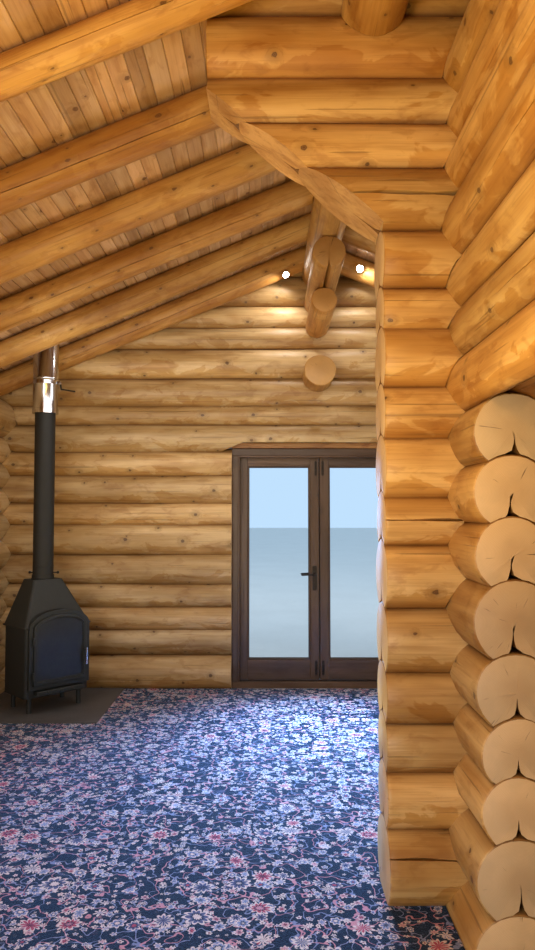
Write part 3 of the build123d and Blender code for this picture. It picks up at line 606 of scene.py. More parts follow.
def log_rings(log):
    """Rings of points along the log, and where each point is in the wood."""
    s = stations(log)
    across, height, radius = log.round_at(s)
    shrink = np.zeros_like(s)
    if not log.square[0]:
        shrink[:2] = END_ROUND, END_ROUND * 0.35
    if not log.square[1]:
        shrink[-2:] = END_ROUND * 0.35, END_ROUND
    floor = np.full_like(s, log.floor)
    for at, centre, notch in log.notches:
        arc = centre + np.sqrt(np.clip(notch**2 - (s - at) ** 2, 0, None)) + GAP
        floor = np.maximum(floor, np.where(np.abs(s - at) < notch, arc, -FAR))
    if log.floor_line:
        floor = np.maximum(floor, log.floor_line(s))
    top = np.full_like(s, log.flat_top)
    if log.ceiling:
        top = np.minimum(top, log.ceiling(s))

    # The skin runs round from the left edge of the groove to its right edge
    limit = np.full_like(s, math.pi)
    right, left = limit * 0.999, -limit * 0.999
    if log.below:
        low_across, low_height, low_radius = log.below.round_at(s)
        low_radius = low_radius + GAP
        apart = np.hypot(across - low_across, height - low_height)
        half = np.arccos(np.clip((radius**2 + apart**2 - low_radius**2) / (2 * radius * apart), -1, 1))
        lean = np.arctan2(low_across - across, height - low_height)
        right, left = math.pi - half - lean, half - math.pi - lean
    line = math.pi - np.arccos(np.clip((height - floor) / radius, -1, 1))
    right, left = np.minimum(right, line), np.maximum(left, -line)

    p = log.phase
    columns = [(np.full_like(s, math.radians(a)), np.zeros_like(s)) for a in range(-156, 157, 12)]
    for low, high, angle, width, depth in log.checks:
        along = np.clip((s - low) / (high - low), 0, 1)
        swell = np.sqrt(np.clip(np.sin(along * math.pi), 0, 1)) * (0.7 + 0.3 * np.sin(23 * s + p[4]))
        turn = angle + 0.05 * np.sin(2.3 * s + p[5]) + 0.012 * np.sin(17 * s + p[6])
        columns = [c for c in columns if not angle - 0.13 < c[0][0] < angle + 0.13]
        for side, sunk in ((-1, 0), (0, 1), (1, 0)):
            columns.append((turn + side * swell * width / radius, sunk * swell * depth))
    columns.sort(key=lambda c: c[0].mean())
    rows = []
    for angle, sunk in columns:
        turn = np.clip(angle, left, right)
        wave = SKIN_WAVE * (np.sin(2 * turn + 1.7 * s + p[5]) + 0.6 * np.sin(3 * turn - 3.1 * s + p[6])
                            + 0.5 * np.sin(5 * turn + 5.3 * s + p[7]))
        free = np.clip(np.minimum(right - turn, turn - left) / 0.15, 0, 1)
        out = radius + wave * free - sunk - shrink
        z = np.maximum(height + out * np.cos(turn), floor)
        rows.append(np.stack([s, across + out * np.sin(turn), np.minimum(z, top)], 1))

    # The underside: the groove over the log below, with the relief kerf near its middle
    y_right, y_left = rows[-1][:, 1], rows[0][:, 1]
    aside = (log.tone[1] - 0.5) * 0.14
    for share in (0.94, 0.80, 0.66, 0.56, 0.522, 0.50, 0.482, 0.44, 0.34, 0.20, 0.06):
        y = y_left + (y_right - y_left) * (share + (aside if abs(share - 0.5) < 0.1 else 0))
        own = height - np.sqrt(np.clip((radius - shrink) ** 2 - (y - across) ** 2, 0, None))
        z = np.maximum(floor, own)
        if log.below:
            groove = low_height + np.sqrt(np.clip(low_radius**2 - (y - low_across) ** 2, 0, None))
            z = np.maximum(z, groove + KERF.get(share, 0.0) * np.clip(height - groove, 0.0, 0.12))
        rows.append(np.stack([s, y, np.minimum(z, top - 0.001)], 1))
    rings = np.stack(rows, 1)
    grains = rings - np.stack([np.zeros_like(s), across, height], 1)[:, None, :]
    grains[:, :, 0] += log.tone[2] * GRAIN_SHIFT
    rings[:3, :, 0] += (rings[:3, :, 2] - log.height) * log.plumb
    return rings, grains


def add_log(pile, log, place=None):
    """Skin of the log in the first material and its two ends in the second."""
    rings, grain = log_rings(log)
    count, size = rings.shape[:2]
    ends = [rings[0].mean(0), rings[-1].mean(0)]
    for end, row in zip(ends, (rings[0], rings[-1])):
        end[1] = log.across
        end[2] = min(max(log.height, row[:, 2].min() + 0.01), row[:, 2].max() - 0.01)
    end_grain = [[log.tone[2] * GRAIN_SHIFT + end[0], 0, end[2] - log.height] for end in ends]
    faces = grid_faces(count, size)
    slots = [0] * len(faces) + [1] * 2 * size
    for end, row in ((0, 0), (1, count - 1)):
        faces += [(count * size + end, row * size + j, row * size + (j + 1) % size) for j in range(size)]
    pile.add(np.concatenate([rings.reshape(-1, 3), ends]), faces, slots,
             np.concatenate([grain.reshape(-1, 3), end_grain]), log.tone, place)


def along_y(rows):
    return rows[:, [1, 0, 2]]


# Courses of the walls
x_seams = list(accumulate(RISES, initial=SLAB))
x_rounds = [((a + b) / 2, math.hypot((b - a) / 2, SEAT)) for a, b in zip(x_seams, x_seams[1:])]
y_seams = [SLAB] + [centre for centre, _ in x_rounds]
y_rounds = [(SLAB, math.hypot(y_seams[1] - SLAB, SEAT))]
y_rounds += [((a + b) / 2, math.hypot((b - a) / 2, SEAT)) for a, b in zip(y_seams[1:], y_seams[2:])]
TOP = len(RISES) - 1
plate_round = (y_seams[PLATE_LEVEL] + math.sqrt(PLATE_RADIUS**2 - SEAT**2), PLATE_RADIUS)
ridge_round = (y_seams[TOP] + math.sqrt(RIDGE_RADIUS**2 - RIDGE_SEAT**2), RIDGE_RADIUS)
eaves_rounds = y_rounds[:PLATE_LEVEL] + [plate_round]
tail_x = HALF_WIDTH + EAVES_TAIL
tail_y = HALF_LENGTH + GABLE_TAIL


def stack(count, ends, across, rounds, seed, spacing=0.26):
    """Logs of one wall, each scribed over the one below it."""
    wall = []
    for level in range(count):
        log = Log(*ends(level), across, *rounds[level], seed * 100 + level, spacing)
        if wall:
            log.below = wall[-1]
        else:
            log.floor = SLAB
        wall.append(log)
    return wall


def eaves_ends(level):
    end = ROOF_HALF - 0.040 if level == PLATE_LEVEL else tail_y
    return -end, end


def gable_ends(level):
    end = HALF_WIDTH if level == PLATE_LEVEL else tail_x
    if level > PLATE_LEVEL:
        end = min(end, (CEILING_APEX - x_seams[level] - 0.012) / SLOPE)
    return -end, end


def cross_ends(level):
    if level < HAUNCH_LEVEL:
        return PIER_X, gable_ends(level)[1]
    share = (x_seams[level + 1] + 0.03 - HAUNCH_LOW) / (HAUNCH_HIGH - HAUNCH_LOW)
    return PIER_X + (HAUNCH_X - PIER_X) * min(share, 1.0), gable_ends(level)[1]


left_wall = stack(PLATE_LEVEL + 1, eaves_ends, -HALF_WIDTH, eaves_rounds, 1)
right_wall = stack(PLATE_LEVEL + 1, eaves_ends, HALF_WIDTH, eaves_rounds, 2)
door_wall = stack(TOP + 1, gable_ends, HALF_LENGTH, x_rounds, 3, 0.2)
rear_wall = stack(TOP + 1, gable_ends, -HALF_LENGTH, x_rounds, 4)
cross_wall = stack(TOP + 1, cross_ends, CROSS_Y, x_rounds, 5, 0.1)
inner_wall = stack(TOP, lambda level: (-tail_y, CROSS_Y + INNER_TAIL), INNER_X, y_rounds, 6, 0.12)
ridge = Log(-(ROOF_HALF - 0.010), ROOF_HALF - 0.010, 0.0, *ridge_round, 801, 0.15)
corbels = {1: {}, -1: {}}
for side, stubs in corbels.items():
    for level, end in CORBELS.items():
        half = (y_seams[level + 1] - y_seams[level]) / 2
        stubs[level] = Log(*sorted((side * end, side * tail_y)), 0.0, y_rounds[level][0],
                           math.hypot(half, RIDGE_SEAT), 810 + level + side, 0.12)
    stubs[15].below = stubs[14]


def cross(upper, lower):
    """Saddle notch of the upper log over the lower one."""
    across, height, radius = lower.round_at(upper.across)
    upper.notches.append((float(across), float(height), float(radius)))


def weave(x_wall, y_wall, over_plate=True):
    """Notch two walls over each other, course by course."""
    y_logs = dict(enumerate(y_wall)) if isinstance(y_wall, list) else y_wall
    for level, log in enumerate(x_wall):
        on_plate = over_plate and level == PLATE_LEVEL + 1
        other = y_logs.get(PLATE_LEVEL if on_plate else level)
        if other and log.start <= other.across <= log.end and other.start < log.across < other.end:
            cross(log, other)
    for level, log in y_logs.items():
        other = x_wall[level - 1] if level else None
        if other and log.start < other.across < log.end and other.start < log.across <= other.end:
            cross(log, other)


for x_wall in (door_wall, rear_wall):
    weave(x_wall, left_wall)
    weave(x_wall, right_wall)
weave(cross_wall, right_wall)
weave(cross_wall, inner_wall, False)
weave(rear_wall, inner_wall, False)
weave(door_wall, corbels[1], False)
weave(rear_wall, corbels[-1], False)
for wall in (door_wall, rear_wall, cross_wall):
    cross(wall[TOP], ridge)
    cross(ridge, wall[TOP - 1])
    for log in wall[PLATE_LEVEL:]:
        log.ceiling = lambda s: CEILING_APEX - SLOPE * np.abs(s) - 0.001


def ridge_floor(s):
    """Underside of the ridge log, hollowed over the upper stub of each gable."""
    stub = corbels[1][15]
    inside = (np.abs(s) > CORBELS[15] - 0.001) & (np.abs(s) < tail_y + 0.001)
    return np.where(inside, stub.height + stub.radius + 0.002, -FAR)


ridge.floor_line = ridge_floor

# Drying checks: those that the photograph shows, then a few more
for log, low, high, angle, width, depth in (
        (door_wall[6], -1.75, -0.95, -88, 0.0025, 0.015), (cross_wall[12], -0.30, 1.3, -92, 0.0120, 0.065),
        (cross_wall[6], -0.02, 1.1, -90, 0.0085, 0.05), (cross_wall[0], -0.02, 1.1, -68, 0.0085, 0.05),
        (cross_wall[6], 0.06, 1.0, 66, 0.003, 0.02), (cross_wall[1], 0.06, 1.0, 72, 0.003, 0.02),
        (cross_wall[14], 0.06, 1.0, 80, 0.003, 0.02)):
    log.checks.append((low, high, math.radians(angle), width, depth))
for level, angle in ((10, -96), (11, -70), (12, -110), (13, -80)):
    low, high = -3.4 + 0.3 * (level % 3), -0.3 - 0.4 * (level % 2)
    inner_wall[level].checks.append((low, high, math.radians(angle), 0.003, 0.02))
for log in chain(left_wall, right_wall, door_wall, rear_wall):
    if log.dice.random() < 0.45 and not log.checks and log.end - log.start > 2.2:
        length = log.dice.uniform(0.7, 1.9)
        low = log.dice.uniform(log.start + 0.1, log.end - length - 0.1)
        angle = log.dice.choice((-1, 1)) * math.radians(log.dice.uniform(55, 112))
        log.checks.append((low, low + length, angle, log.dice.uniform(0.0015, 0.003), 0.015))

# Openings: the door wall, the inner doorway, and the sawn slope of the haunch
door_low, door_high = DOOR_X - DOOR_WIDTH / 2, DOOR_X + DOOR_WIDTH / 2
door_wall[DOOR_LEVEL].floor_line = lambda s: np.where((s > door_low) & (s < door_high), DOOR_HEAD, -FAR)
beside_door, beside_inner = door_wall[:DOOR_LEVEL], inner_wall[:DOOR_LEVEL]
wall_looks, log_looks, pole_looks = (wall_side, log_end), (log_side, log_end), (pole_side, oiled_end)
for name, logs, place, looks, node in (
        ("left_wall_logs", left_wall, along_y, wall_looks, "left_wall"),
        ("right_wall_logs", right_wall, along_y, wall_looks, "right_wall"),
        ("door_wall_left_logs", [log.part(log.start, door_low, (False, True)) for log in beside_door],
         None, wall_looks, "door_wall_left"),
        ("door_wall_right_logs", [log.part(door_high, log.end, (True, False)) for log in beside_door],
         None, wall_looks, "door_wall_right"),
        ("door_wall_top_logs", door_wall[DOOR_LEVEL:], None, wall_looks, "door_wall_top"),
        ("rear_wall_logs", rear_wall, None, wall_looks, "rear_wall"),
        ("cross_wall_logs", cross_wall[:HAUNCH_LEVEL], None, log_looks, "cross_wall"),
        ("inner_pier_logs", [log.part(INNER_PIER_Y, log.end) for log in beside_inner],
         along_y, log_looks, "inner_wall_pier"),
        ("inner_rear_logs", [log.part(-tail_y, INNER_JAMB_Y) for log in beside_inner],
         along_y, log_looks, "inner_wall_rear"),
        ("inner_header_logs", inner_wall[DOOR_LEVEL:], along_y, log_looks, "inner_wall_header"),
        ("door_corbel_logs", corbels[1].values(), along_y, pole_looks, "door_wall_corbels"),
        ("rear_corbel_logs", corbels[-1].values(), along_y, pole_looks, "rear_wall_corbels"),
        ("ridge_pole", [ridge], along_y, pole_looks, "ridge_log")):
    pile = Pile()
    for log in logs:
        add_log(pile, log, place)
    piece(name, pile, looks, (node,))


def haunch():
    """Logs over the haunch, sawn off along its slope, with the sawn face as its own material."""
    pile = Pile()
    first = cross_wall[HAUNCH_LEVEL]
    add_log(pile, first.part(PIER_X, first.end, (True, False)))
    slope = Vector((HAUNCH_X - PIER_X, 0, HAUNCH_HIGH - HAUNCH_LOW))
    down = Vector((-slope.z, 0, slope.x)).normalized()
    for log in [first.part(first.start, PIER_X, (False, True))] + cross_wall[HAUNCH_LEVEL + 1:]:
        single = Pile()
        add_log(single, log)
        mesh = bmesh.new()
        layer = mesh.verts.layers.float_vector.new("grain")
        verts = [mesh.verts.new(p) for p in np.concatenate(single.points)]
        for vert, grain in zip(verts, np.concatenate(single.grains)):
            vert[layer] = grain
        for face, slot in zip(single.faces, single.slots):
            if len(set(face)) > 2:
                made = mesh.faces.new([verts[i] for i in dict.fromkeys(face)])
                made.material_index = slot
        bmesh.ops.remove_doubles(mesh, verts=mesh.verts, dist=0.0001)
        geometry = mesh.verts[:] + mesh.edges[:] + mesh.faces[:]
        cut = bmesh.ops.bisect_plane(mesh, geom=geometry, plane_co=(PIER_X, 0, HAUNCH_LOW), plane_no=down,
                                     clear_outer=True, dist=0.0001)
        rim = [item for item in cut["geom_cut"] if isinstance(item, bmesh.types.BMEdge)]
        for face in bmesh.ops.contextual_create(mesh, geom=rim)["faces"]:
            face.material_index = 2
        bmesh.ops.triangulate(mesh, faces=[f for f in mesh.faces if len(f.verts) > 4])
        mesh.verts.index_update()
        pile.add([tuple(v.co) for v in mesh.verts], [tuple(v.index for v in f.verts) for f in mesh.faces],
                 [f.material_index for f in mesh.faces], [tuple(v[layer]) for v in mesh.verts], log.tone)
        mesh.free()
    piece("cross_wall_top_logs", pile, (log_side, log_end, cut_face), ("cross_wall_top",))


haunch()


# Pole rafters: s runs down the slope from the ridge
def axis_apex(radius):
    return CEILING_APEX - (radius - RAFTER_FLAT) / COS


def down_slope(side, y=0.0, apex=CEILING_APEX):
    """Place rows of (down the slope, along the cabin, square to the slope)."""
    def place(rows):
        u, v, w = np.asarray(rows, float).T
        return np.stack([side * (u * COS + w * SIN), v + y, apex - u * SIN + w * COS], 1)
    return place


def plumb_slope(side):
    """The same from the boards' underside, with every end cut plumb."""
    def place(rows):
        u, v, w = np.asarray(rows, float).T
        return np.stack([side * u * COS, v, CEILING_APEX - u * SIN + w / COS], 1)
    return place


def slope_notch(x, centre, radius, apex):
    """A log along Y, seen in a rafter's own frame."""
    drop = centre - apex
    return x * COS - drop * SIN, x * SIN + drop * COS, radius


for hand, side in SIDES:
    pile = Pile()
    for index in range(-RAFTER_COUNT, RAFTER_COUNT + 1):
        y = index * RAFTER_SPACING
        thick = MIDDLE_RADIUS if index == 0 else RAFTER_RADIUS
        apex = axis_apex(thick)
        pole = Log(0.0012, RAFTER_RUN / COS, 0.0, 0.0, thick, 2000 + 40 * side + index, 0.16)
        pole.notches = [slope_notch(0.0, *ridge_round, apex), slope_notch(HALF_WIDTH, *plate_round, apex)]
        if side > 0 and index and y < CROSS_Y + INNER_TAIL + RAFTER_RADIUS:
            pole.notches.append(slope_notch(INNER_X, *y_rounds[TOP - 1], apex))
        pole.flat_top = thick - RAFTER_FLAT
        pole.plumb = -SLOPE
        pole.square = (True, False)
        if index in (-2, 1, 3, 5) or pole.dice.random() < 0.3:
            angle = math.radians(pole.dice.choice((-1, 1)) * pole.dice.uniform(95, 130))
            pole.checks.append((0.25, pole.dice.uniform(2.2, 3.0), angle, 0.0022, 0.02))
        add_log(pile, pole, down_slope(side, y, apex))
    piece(f"{hand}_rafter_poles", pile, (pole_side, log_end), (f"{hand}_rafters",))

# Ceiling boards, roof covering and trims, laid out in the slope's frame from the boards' underside
for hand, side in SIDES:
    dice = random.Random(70 + side)
    on_slope, on_roof = down_slope(side), plumb_slope(side)
    boards = Pile()
    for row in range(math.ceil(slope_length / BOARD_COVER)):
        low = max(row * BOARD_COVER, 0.001)
        high = min((row + 1) * BOARD_COVER, slope_length)
        joints = sorted(dice.sample(range(-5, 6), 2))
        ends = [-ROOF_HALF] + [j * RAFTER_SPACING for j in joints] + [ROOF_HALF]
        runs = list(zip(ends, ends[1:]))
        if side < 0 and low < FLUE_U + FLUE_HOLE_U and high > FLUE_U - FLUE_HOLE_U:
            near, far = PIPE_Y - FLUE_HOLE_Y, PIPE_Y + FLUE_HOLE_Y
            runs = [(a, min(b, near)) for a, b in runs if a < near] + [
                (max(a, far), b) for a, b in runs if b > far]
        for start, end in runs:
            boards.box((low + BOARD_GAP / 2, start + BOARD_END, 0.0),
                       (high - BOARD_GAP / 2, end - BOARD_END, BOARD_THICK), 1, 0.0035, 0, dice, on_slope)
    piece(f"{hand}_ceiling_boards", boards, (board_wood,), (f"{hand}_ceiling",))
    dress(f"{hand}_roof_core", core_look)

    tabs = Pile()
    tabs.box((0.001, -COVER_HALF, CORE_TOP), (cover_length, COVER_HALF, CORE_TOP + 0.007), 1, 0.001, 0, dice,
             on_roof)
    for row in range(math.ceil(cover_length / SHINGLE_STEP)):
        low_edge = cover_length - row * SHINGLE_STEP
        high_edge = max(low_edge - SHINGLE_STEP - 0.02, 0.002)
        y = -COVER_HALF - (row % 2) * SHINGLE_WIDTH / 2
        while y < COVER_HALF - 0.01:
            start = max(y + SHINGLE_GAP, -COVER_HALF)
            end = min(y + SHINGLE_WIDTH - SHINGLE_GAP, COVER_HALF)
            y += SHINGLE_WIDTH
            if end - start < 0.02:
                continue
            edge = low_edge - dice.uniform(0, 0.004)
            thick = CORE_TOP + 0.0145 + dice.uniform(0, 0.0018)
            corner = min(0.02, (end - start) / 3)
            shape = [(high_edge, start), (edge - corner, start), (edge, start + corner), (edge, end - corner),
                     (edge - corner, end), (high_edge, end)]
            under = [(u, v, CORE_TOP + 0.006) for u, v in shape]
            over = [(u, v, thick - 0.006 * (edge - u) / SHINGLE_STEP) for u, v in shape]
            faces = [tuple(range(6)), tuple(range(6, 12))] + grid_faces(2, 6)
            tabs.add(under + over, faces, 0, None, [dice.random() for _ in range(3)], on_roof)
    piece(f"{hand}_shingles", tabs, (shingle,), (f"{hand}_roof_cover",))

    edge = Pile()
    for start in (-ROOF_HALF, 0.0):
        edge.box((slope_length + FIT, start + 0.001, 0.001),
                 (trim_end, start + ROOF_HALF - 0.001, CORE_TOP), 1, 0.004, 0, dice, on_roof)
    piece(f"{hand}_fascia_boards", edge, (trim_wood,), (f"{hand}_fascia",))

for name, y, strip_low, strip_high in (("door_gable", ROOF_HALF, 0.0245, 0.0365),
                                       ("rear_gable", -ROOF_HALF - TRIM_THICK, -0.012, 0)):
    barge = Pile()
    for side in (-1, 1):
        for low, high, bevel, seed in (
                ((y, -0.055), (trim_end, y + 0.0245), 0.004, 90),
                ((y + strip_low, 0.075), (slope_length + 0.027, y + strip_high), 0.003, 95)):
            barge.box((0.0006, *low), (*high, CORE_TOP), 0, bevel, 0, random.Random(seed + side),
                      plumb_slope(side))
    piece(f"{name}_barge_pair", barge, (trim_wood,), (f"{name}_bargeboards",))

cap = Pile()
cap_z = CEILING_APEX + (CORE_TOP + 0.0205) / COS
for index in range(math.ceil(2 * COVER_HALF / CAP_STEP)):
    low = -COVER_HALF + index * CAP_STEP
    high = min(low + CAP_STEP + 0.06, COVER_HALF)
    bend = [(u * COS, -abs(u) * SIN - (0.002 if u == 0 else 0))
            for u in (-0.168, -0.05, -0.015, 0.0, 0.015, 0.05, 0.168)]
    rows = []
    for y, lift in ((low, 0.0062), (high, 0.0005)):
        rows += [(x, y, cap_z + z + lift) for x, z in bend]
        rows += [(x, y, cap_z + z + lift - 0.0045) for x, z in bend[::-1]]
    faces = grid_faces(2, 14) + [tuple(range(14)), tuple(range(14, 28))]
    cap.add(rows, faces, 0, None, [random.Random(index).random() for _ in range(3)])
piece("ridge_cap_shingles", cap, (shingle,), ("ridge_cap",))

# Doors: frame, sill and leaves as separate boards, with glazing beads and seals
hinge_edges = {-1: door_low + 0.060, 1: door_high - 0.060}
meeting_edges = {-1: hinge_edges[-1] + LEAF_WIDTH, 1: hinge_edges[1] - LEAF_WIDTH}
frame_pile = Pile()
for side in (-1, 1):
    outer = DOOR_X + side * (DOOR_WIDTH / 2 - FIT)
    face = DOOR_X + side * (DOOR_WIDTH / 2 - 0.055)
    for start, end, y_high in ((outer, face, LEAF_OUT),
                               (face + FIT * side, face - 0.015 * side, STOP_OUT)):
        frame_pile.box((start, FRAME_IN, SILL_TOP + 0.0003), (end, y_high, HEAD_LOW - 0.0003), 2, 0.003)
for inset, y_high, low, high in ((FIT, LEAF_OUT, 0, 0.065), (0.0703, STOP_OUT, -0.015, -0.0002)):
    frame_pile.box((door_low + inset, FRAME_IN, HEAD_LOW + low),
                   (door_high - inset, y_high, HEAD_LOW + high), 0, 0.003)
piece("door_frame_boards", frame_pile, (door_wood,), ("door_frame",))

sill = Pile()
for inset, y_low, y_high, low, high, bevel, slot in (
        (FIT, FRAME_IN, LEAF_OUT + 0.002, SLAB + FIT, SILL_TOP, 0.004, 0),
        (FIT, LEAF_OUT + 0.001, SILL_OUT, SILL_TOP - 0.040, SILL_TOP - 0.002, 0.008, 0),
        (0.06, *SILL_TRACK, SILL_TOP - 0.001, SILL_TOP + 0.003, 0.001, 1)):
    sill.box((door_low + inset, y_low, low), (door_high - inset, y_high, high), 0, bevel, slot)
piece("door_sill_boards", sill, (door_wood, bronze), ("door_sill",))

trims = Pile()
for y in (HALF_LENGTH - SEAT, HALF_LENGTH + SEAT - 0.022):
    trims.box((door_low + FIT, y, DOOR_HEAD - 0.0497), (door_high - FIT, y + 0.022, DOOR_HEAD - 0.0003), 0,
              0.003)
piece("door_head_trims", trims, (log_side,), ("door_head_trim",))


def both_ends(low, high, near, far):
    """Two spans that lie from near to far inside the ends of a length."""
    return (low + near, low + far), (high - far, high - near)


glass_low, glass_high = LEAF_LOW + BOTTOM_RAIL, LEAF_HIGH - TOP_RAIL
for hand, side in SIDES:
    body = f"{hand}_leaf"
    low, high = sorted((hinge_edges[side], meeting_edges[side]))
    inner_low, inner_high = low + STILE, high - STILE
    leaf = Pile()
    for a, b in ((low, inner_low), (inner_high, high)):
        leaf.box((a, LEAF_IN, LEAF_LOW), (b, LEAF_OUT, LEAF_HIGH), 2, 0.003)
    for a, b in ((LEAF_LOW, glass_low), (glass_high, LEAF_HIGH)):
        leaf.box((inner_low + 0.0003, LEAF_IN + 0.0004, a), (inner_high - 0.0003, LEAF_OUT - 0.0004, b), 0,
                 0.002)
    for y_low, y_high in both_ends(LEAF_IN, LEAF_OUT, 0.004, 0.0155):
        for a, b in both_ends(inner_low, inner_high, 0, BEAD):
            leaf.box((a, y_low, glass_low), (b, y_high, glass_high), 2, 0.0035)
        for a, b in both_ends(glass_low, glass_high, 0, BEAD):
            leaf.box((inner_low + 0.011, y_low + 0.0003, a), (inner_high - 0.011, y_high - 0.0003, b), 0,
                     0.0035)
    piece(f"{hand}_leaf_boards", leaf, (door_wood,), (f"{hand}_door_leaf",), body)
    dress(f"{hand}_door_glass", door_glass)
    strip = Pile()
    for y in (LEAF_IN + 0.0152, LEAF_OUT - 0.0172):
        for a, b in both_ends(inner_low, inner_high, 0.012, 0.016):
            strip.box((a, y, glass_low + 0.01), (b, y + 0.002, glass_high - 0.01), 2, 0.0006)
        for a, b in both_ends(glass_low, glass_high, 0.012, 0.016):
            strip.box((inner_low + 0.01, y, a), (inner_high - 0.01, y + 0.002, b), 0, 0.0006)
    piece(f"{hand}_glass_seals", strip, (seal,), (), body)
    lip = Pile()
    lip.box((meeting_edges[side], LEAF_OUT - 0.014, LEAF_LOW + 0.002),
            (meeting_edges[side] - side * 0.0038, LEAF_OUT - 0.008, LEAF_HIGH - 0.002), 2, 0.0008)
    piece(f"{hand}_meeting_seal", lip, (seal,), (), body)

# Hinges, lock, lever and bolts
hinge_y = LEAF_OUT + 0.0073
low_hinge = LEAF_LOW + 0.130
high_hinge = LEAF_HIGH - 0.130 - 2 * KNUCKLE


def hinge_piece(name, body, node_name, sides, lift, toward):
    """Knuckles, plates and screws of one body; toward is 1 for the leaf's half and -1 for the frame's."""
    pile = Pile()
    for side, z in product(sides, (low_hinge, (low_hinge + high_hinge) / 2, high_hinge)):
        x = DOOR_X + side * (DOOR_WIDTH / 2 - 0.0575)
        low, high = z + lift, z + lift + KNUCKLE
        pin = (x, hinge_y, 0)
        pile.turn([(0, low), (0.0056, low), (0.007, low + 0.0015), (0.007, high - 0.0015), (0.0056, high),
                   (0, high)], pin, 2, 20)
        tip = high if toward > 0 else low
        pile.turn([(0, tip), (0.005, tip), (0.0058, tip + toward * 0.003), (0.004, tip + toward * 0.006),
                   (0, tip + toward * 0.0075)], pin, 2, 16)
        pile.box((x, LEAF_OUT + 0.0003, low), (x - side * toward * 0.028, LEAF_OUT + 0.003, high), 2, 0.0008)
        for dz in (0.011, 0.034):
            pile.turn([(0, 0.0042), (0.003, 0.0040), (0.0038, 0.003), (0.0038, 0.0), (0, 0)],
                      (x - side * toward * 0.020, LEAF_OUT, low + dz), 1, 12)
    piece(name, pile, (bronze,), (node_name,), body)


hinge_piece("hinge_frame_halves", "root", "frame_hinges", (-1, 1), 0.0, -1)
for hand, side in SIDES:
    hinge_piece(f"{hand}_hinge_halves", f"{hand}_leaf", f"{hand}_leaf_hinges", (side,), KNUCKLE + 0.0003, 1)


def rounded(width, low, high, radius, steps=5):
    """Outline of a plate with round corners."""
    shape = []
    for cx, cz, start in ((width - radius, high - radius, 0), (radius - width, high - radius, 90),
                          (radius - width, low + radius, 180), (width - radius, low + radius, 270)):
        for i in range(steps):
            a = math.radians(start + 90 * i / (steps - 1))
            shape.append((cx + radius * math.cos(a), cz + radius * math.sin(a)))
    return shape


def on_face(y, sign, x=meeting_edges[-1] - STILE / 2, z=HANDLE_Z):
    """Rows of (across, up, out of the face) put on a face of the leaf."""
    def place(rows):
        across, up, out = np.asarray(rows, float).T
        return np.stack([x + across, y + sign * out, z + up], 1)
    return place


lock, levers = Pile(), Pile()
for y, sign in ((LEAF_IN, -1), (LEAF_OUT, 1)):
    face = on_face(y, sign)
    lock.outline(rounded(0.020, -0.143, 0.077, 0.012), 0.0003, 0.0073, 0, face, bevel=0.002)
    lock.turn([(0.0072, 0.007), (0.0125, 0.0071), (0.012, 0.0095), (0.0075, 0.0100)], steps=24, place=face)
    lock.outline(rounded(0.0085, -0.104, -0.071, 0.0084), 0.007, 0.0105, 0, face, bevel=0.001)
    for up in (0.062, -0.128):
        lock.turn([(0, 0.0085), (0.003, 0.0083), (0.004, 0.0073), (0.004, 0.006), (0, 0.006)], (0, up, 0),
                  steps=14, place=face)
    levers.turn([(0, -0.02), (0.006, -0.02), (0.006, 0.009), (0.0095, 0.011), (0.0095, 0.020),
                 (0.0075, 0.026), (0.0075, 0.044), (0, 0.046)], steps=24, place=face)
    levers.tube([(0.002, 0, 0.037), (-0.010, 0, 0.0425), (-0.025, 0, 0.044), (-0.055, -0.001, 0.044),
                 (-0.085, -0.003, 0.043), (-0.108, -0.004, 0.040), (-0.119, -0.0045, 0.036)],
                [0.0075, 0.0078, 0.0075, 0.0068, 0.0070, 0.0072, 0.0055], 14, 0, face)
piece("lock_plate_pair", lock, (bronze,), ("lock_plates",), "left_leaf")
piece("lever_pair", levers, (bronze,), ("door_lever",), "lever")
for hand, side in SIDES:
    bolts = Pile()
    x = meeting_edges[side] + side * STILE * 0.35
    for z, out in ((LEAF_LOW + 0.040, -1), (LEAF_HIGH - 0.170, 1)):
        face = on_face(LEAF_IN, -1, x, z + 0.065)
        bolts.outline(rounded(0.011, -0.065, 0.065, 0.0107), 0.0003, 0.0043, 0, face, bevel=0.001)
        bolts.tube([(0, -0.03 * out, 0.0062), (0, 0.062 * out, 0.0062)], 0.0042, 12, 0, face)
        bolts.turn([(0, 0.019), (0.004, 0.0185), (0.0055, 0.016), (0.004, 0.012), (0.003, 0.006), (0, 0.006)],
                   (0, -0.015 * out, 0), 2, 16, 0, face)
        for up in (-0.030, 0.045):
            up *= out
            bolts.box((-0.008, up - 0.005, 0.004), (0.008, up + 0.005, 0.0105), 0, 0.001, place=face)
    piece(f"{hand}_bolt_pair", bolts, (bronze,), (f"{hand}_door_bolts",), f"{hand}_leaf")

# Stove, pipe and flue
dress("stove_body", stove_black)
dress("stove_hood", stove_black)
dress("hearth", slate)


def ring_profile(radius, z, steps):
    """Profile of a raised ring round a pipe, from steps of (out, up)."""
    return [(radius + out, z + up) for out, up in steps]


def on_stove(rows, face=STOVE_FRONT):
    """Rows of (across the front, height over the floor, out of the front) put on the turned stove."""
    across, up, out = np.asarray(rows, float).T
    out = face + out
    return np.stack([PIPE_X + across * math.cos(STOVE_TURN) + out * math.sin(STOVE_TURN),
                     PIPE_Y + across * math.sin(STOVE_TURN) - out * math.cos(STOVE_TURN), FLOOR + up], 1)


def on_arch(rows):
    """The same, with the third number out of the fire arch's own face."""
    return on_stove(rows, STOVE_FRONT + ARCH_FRONT)


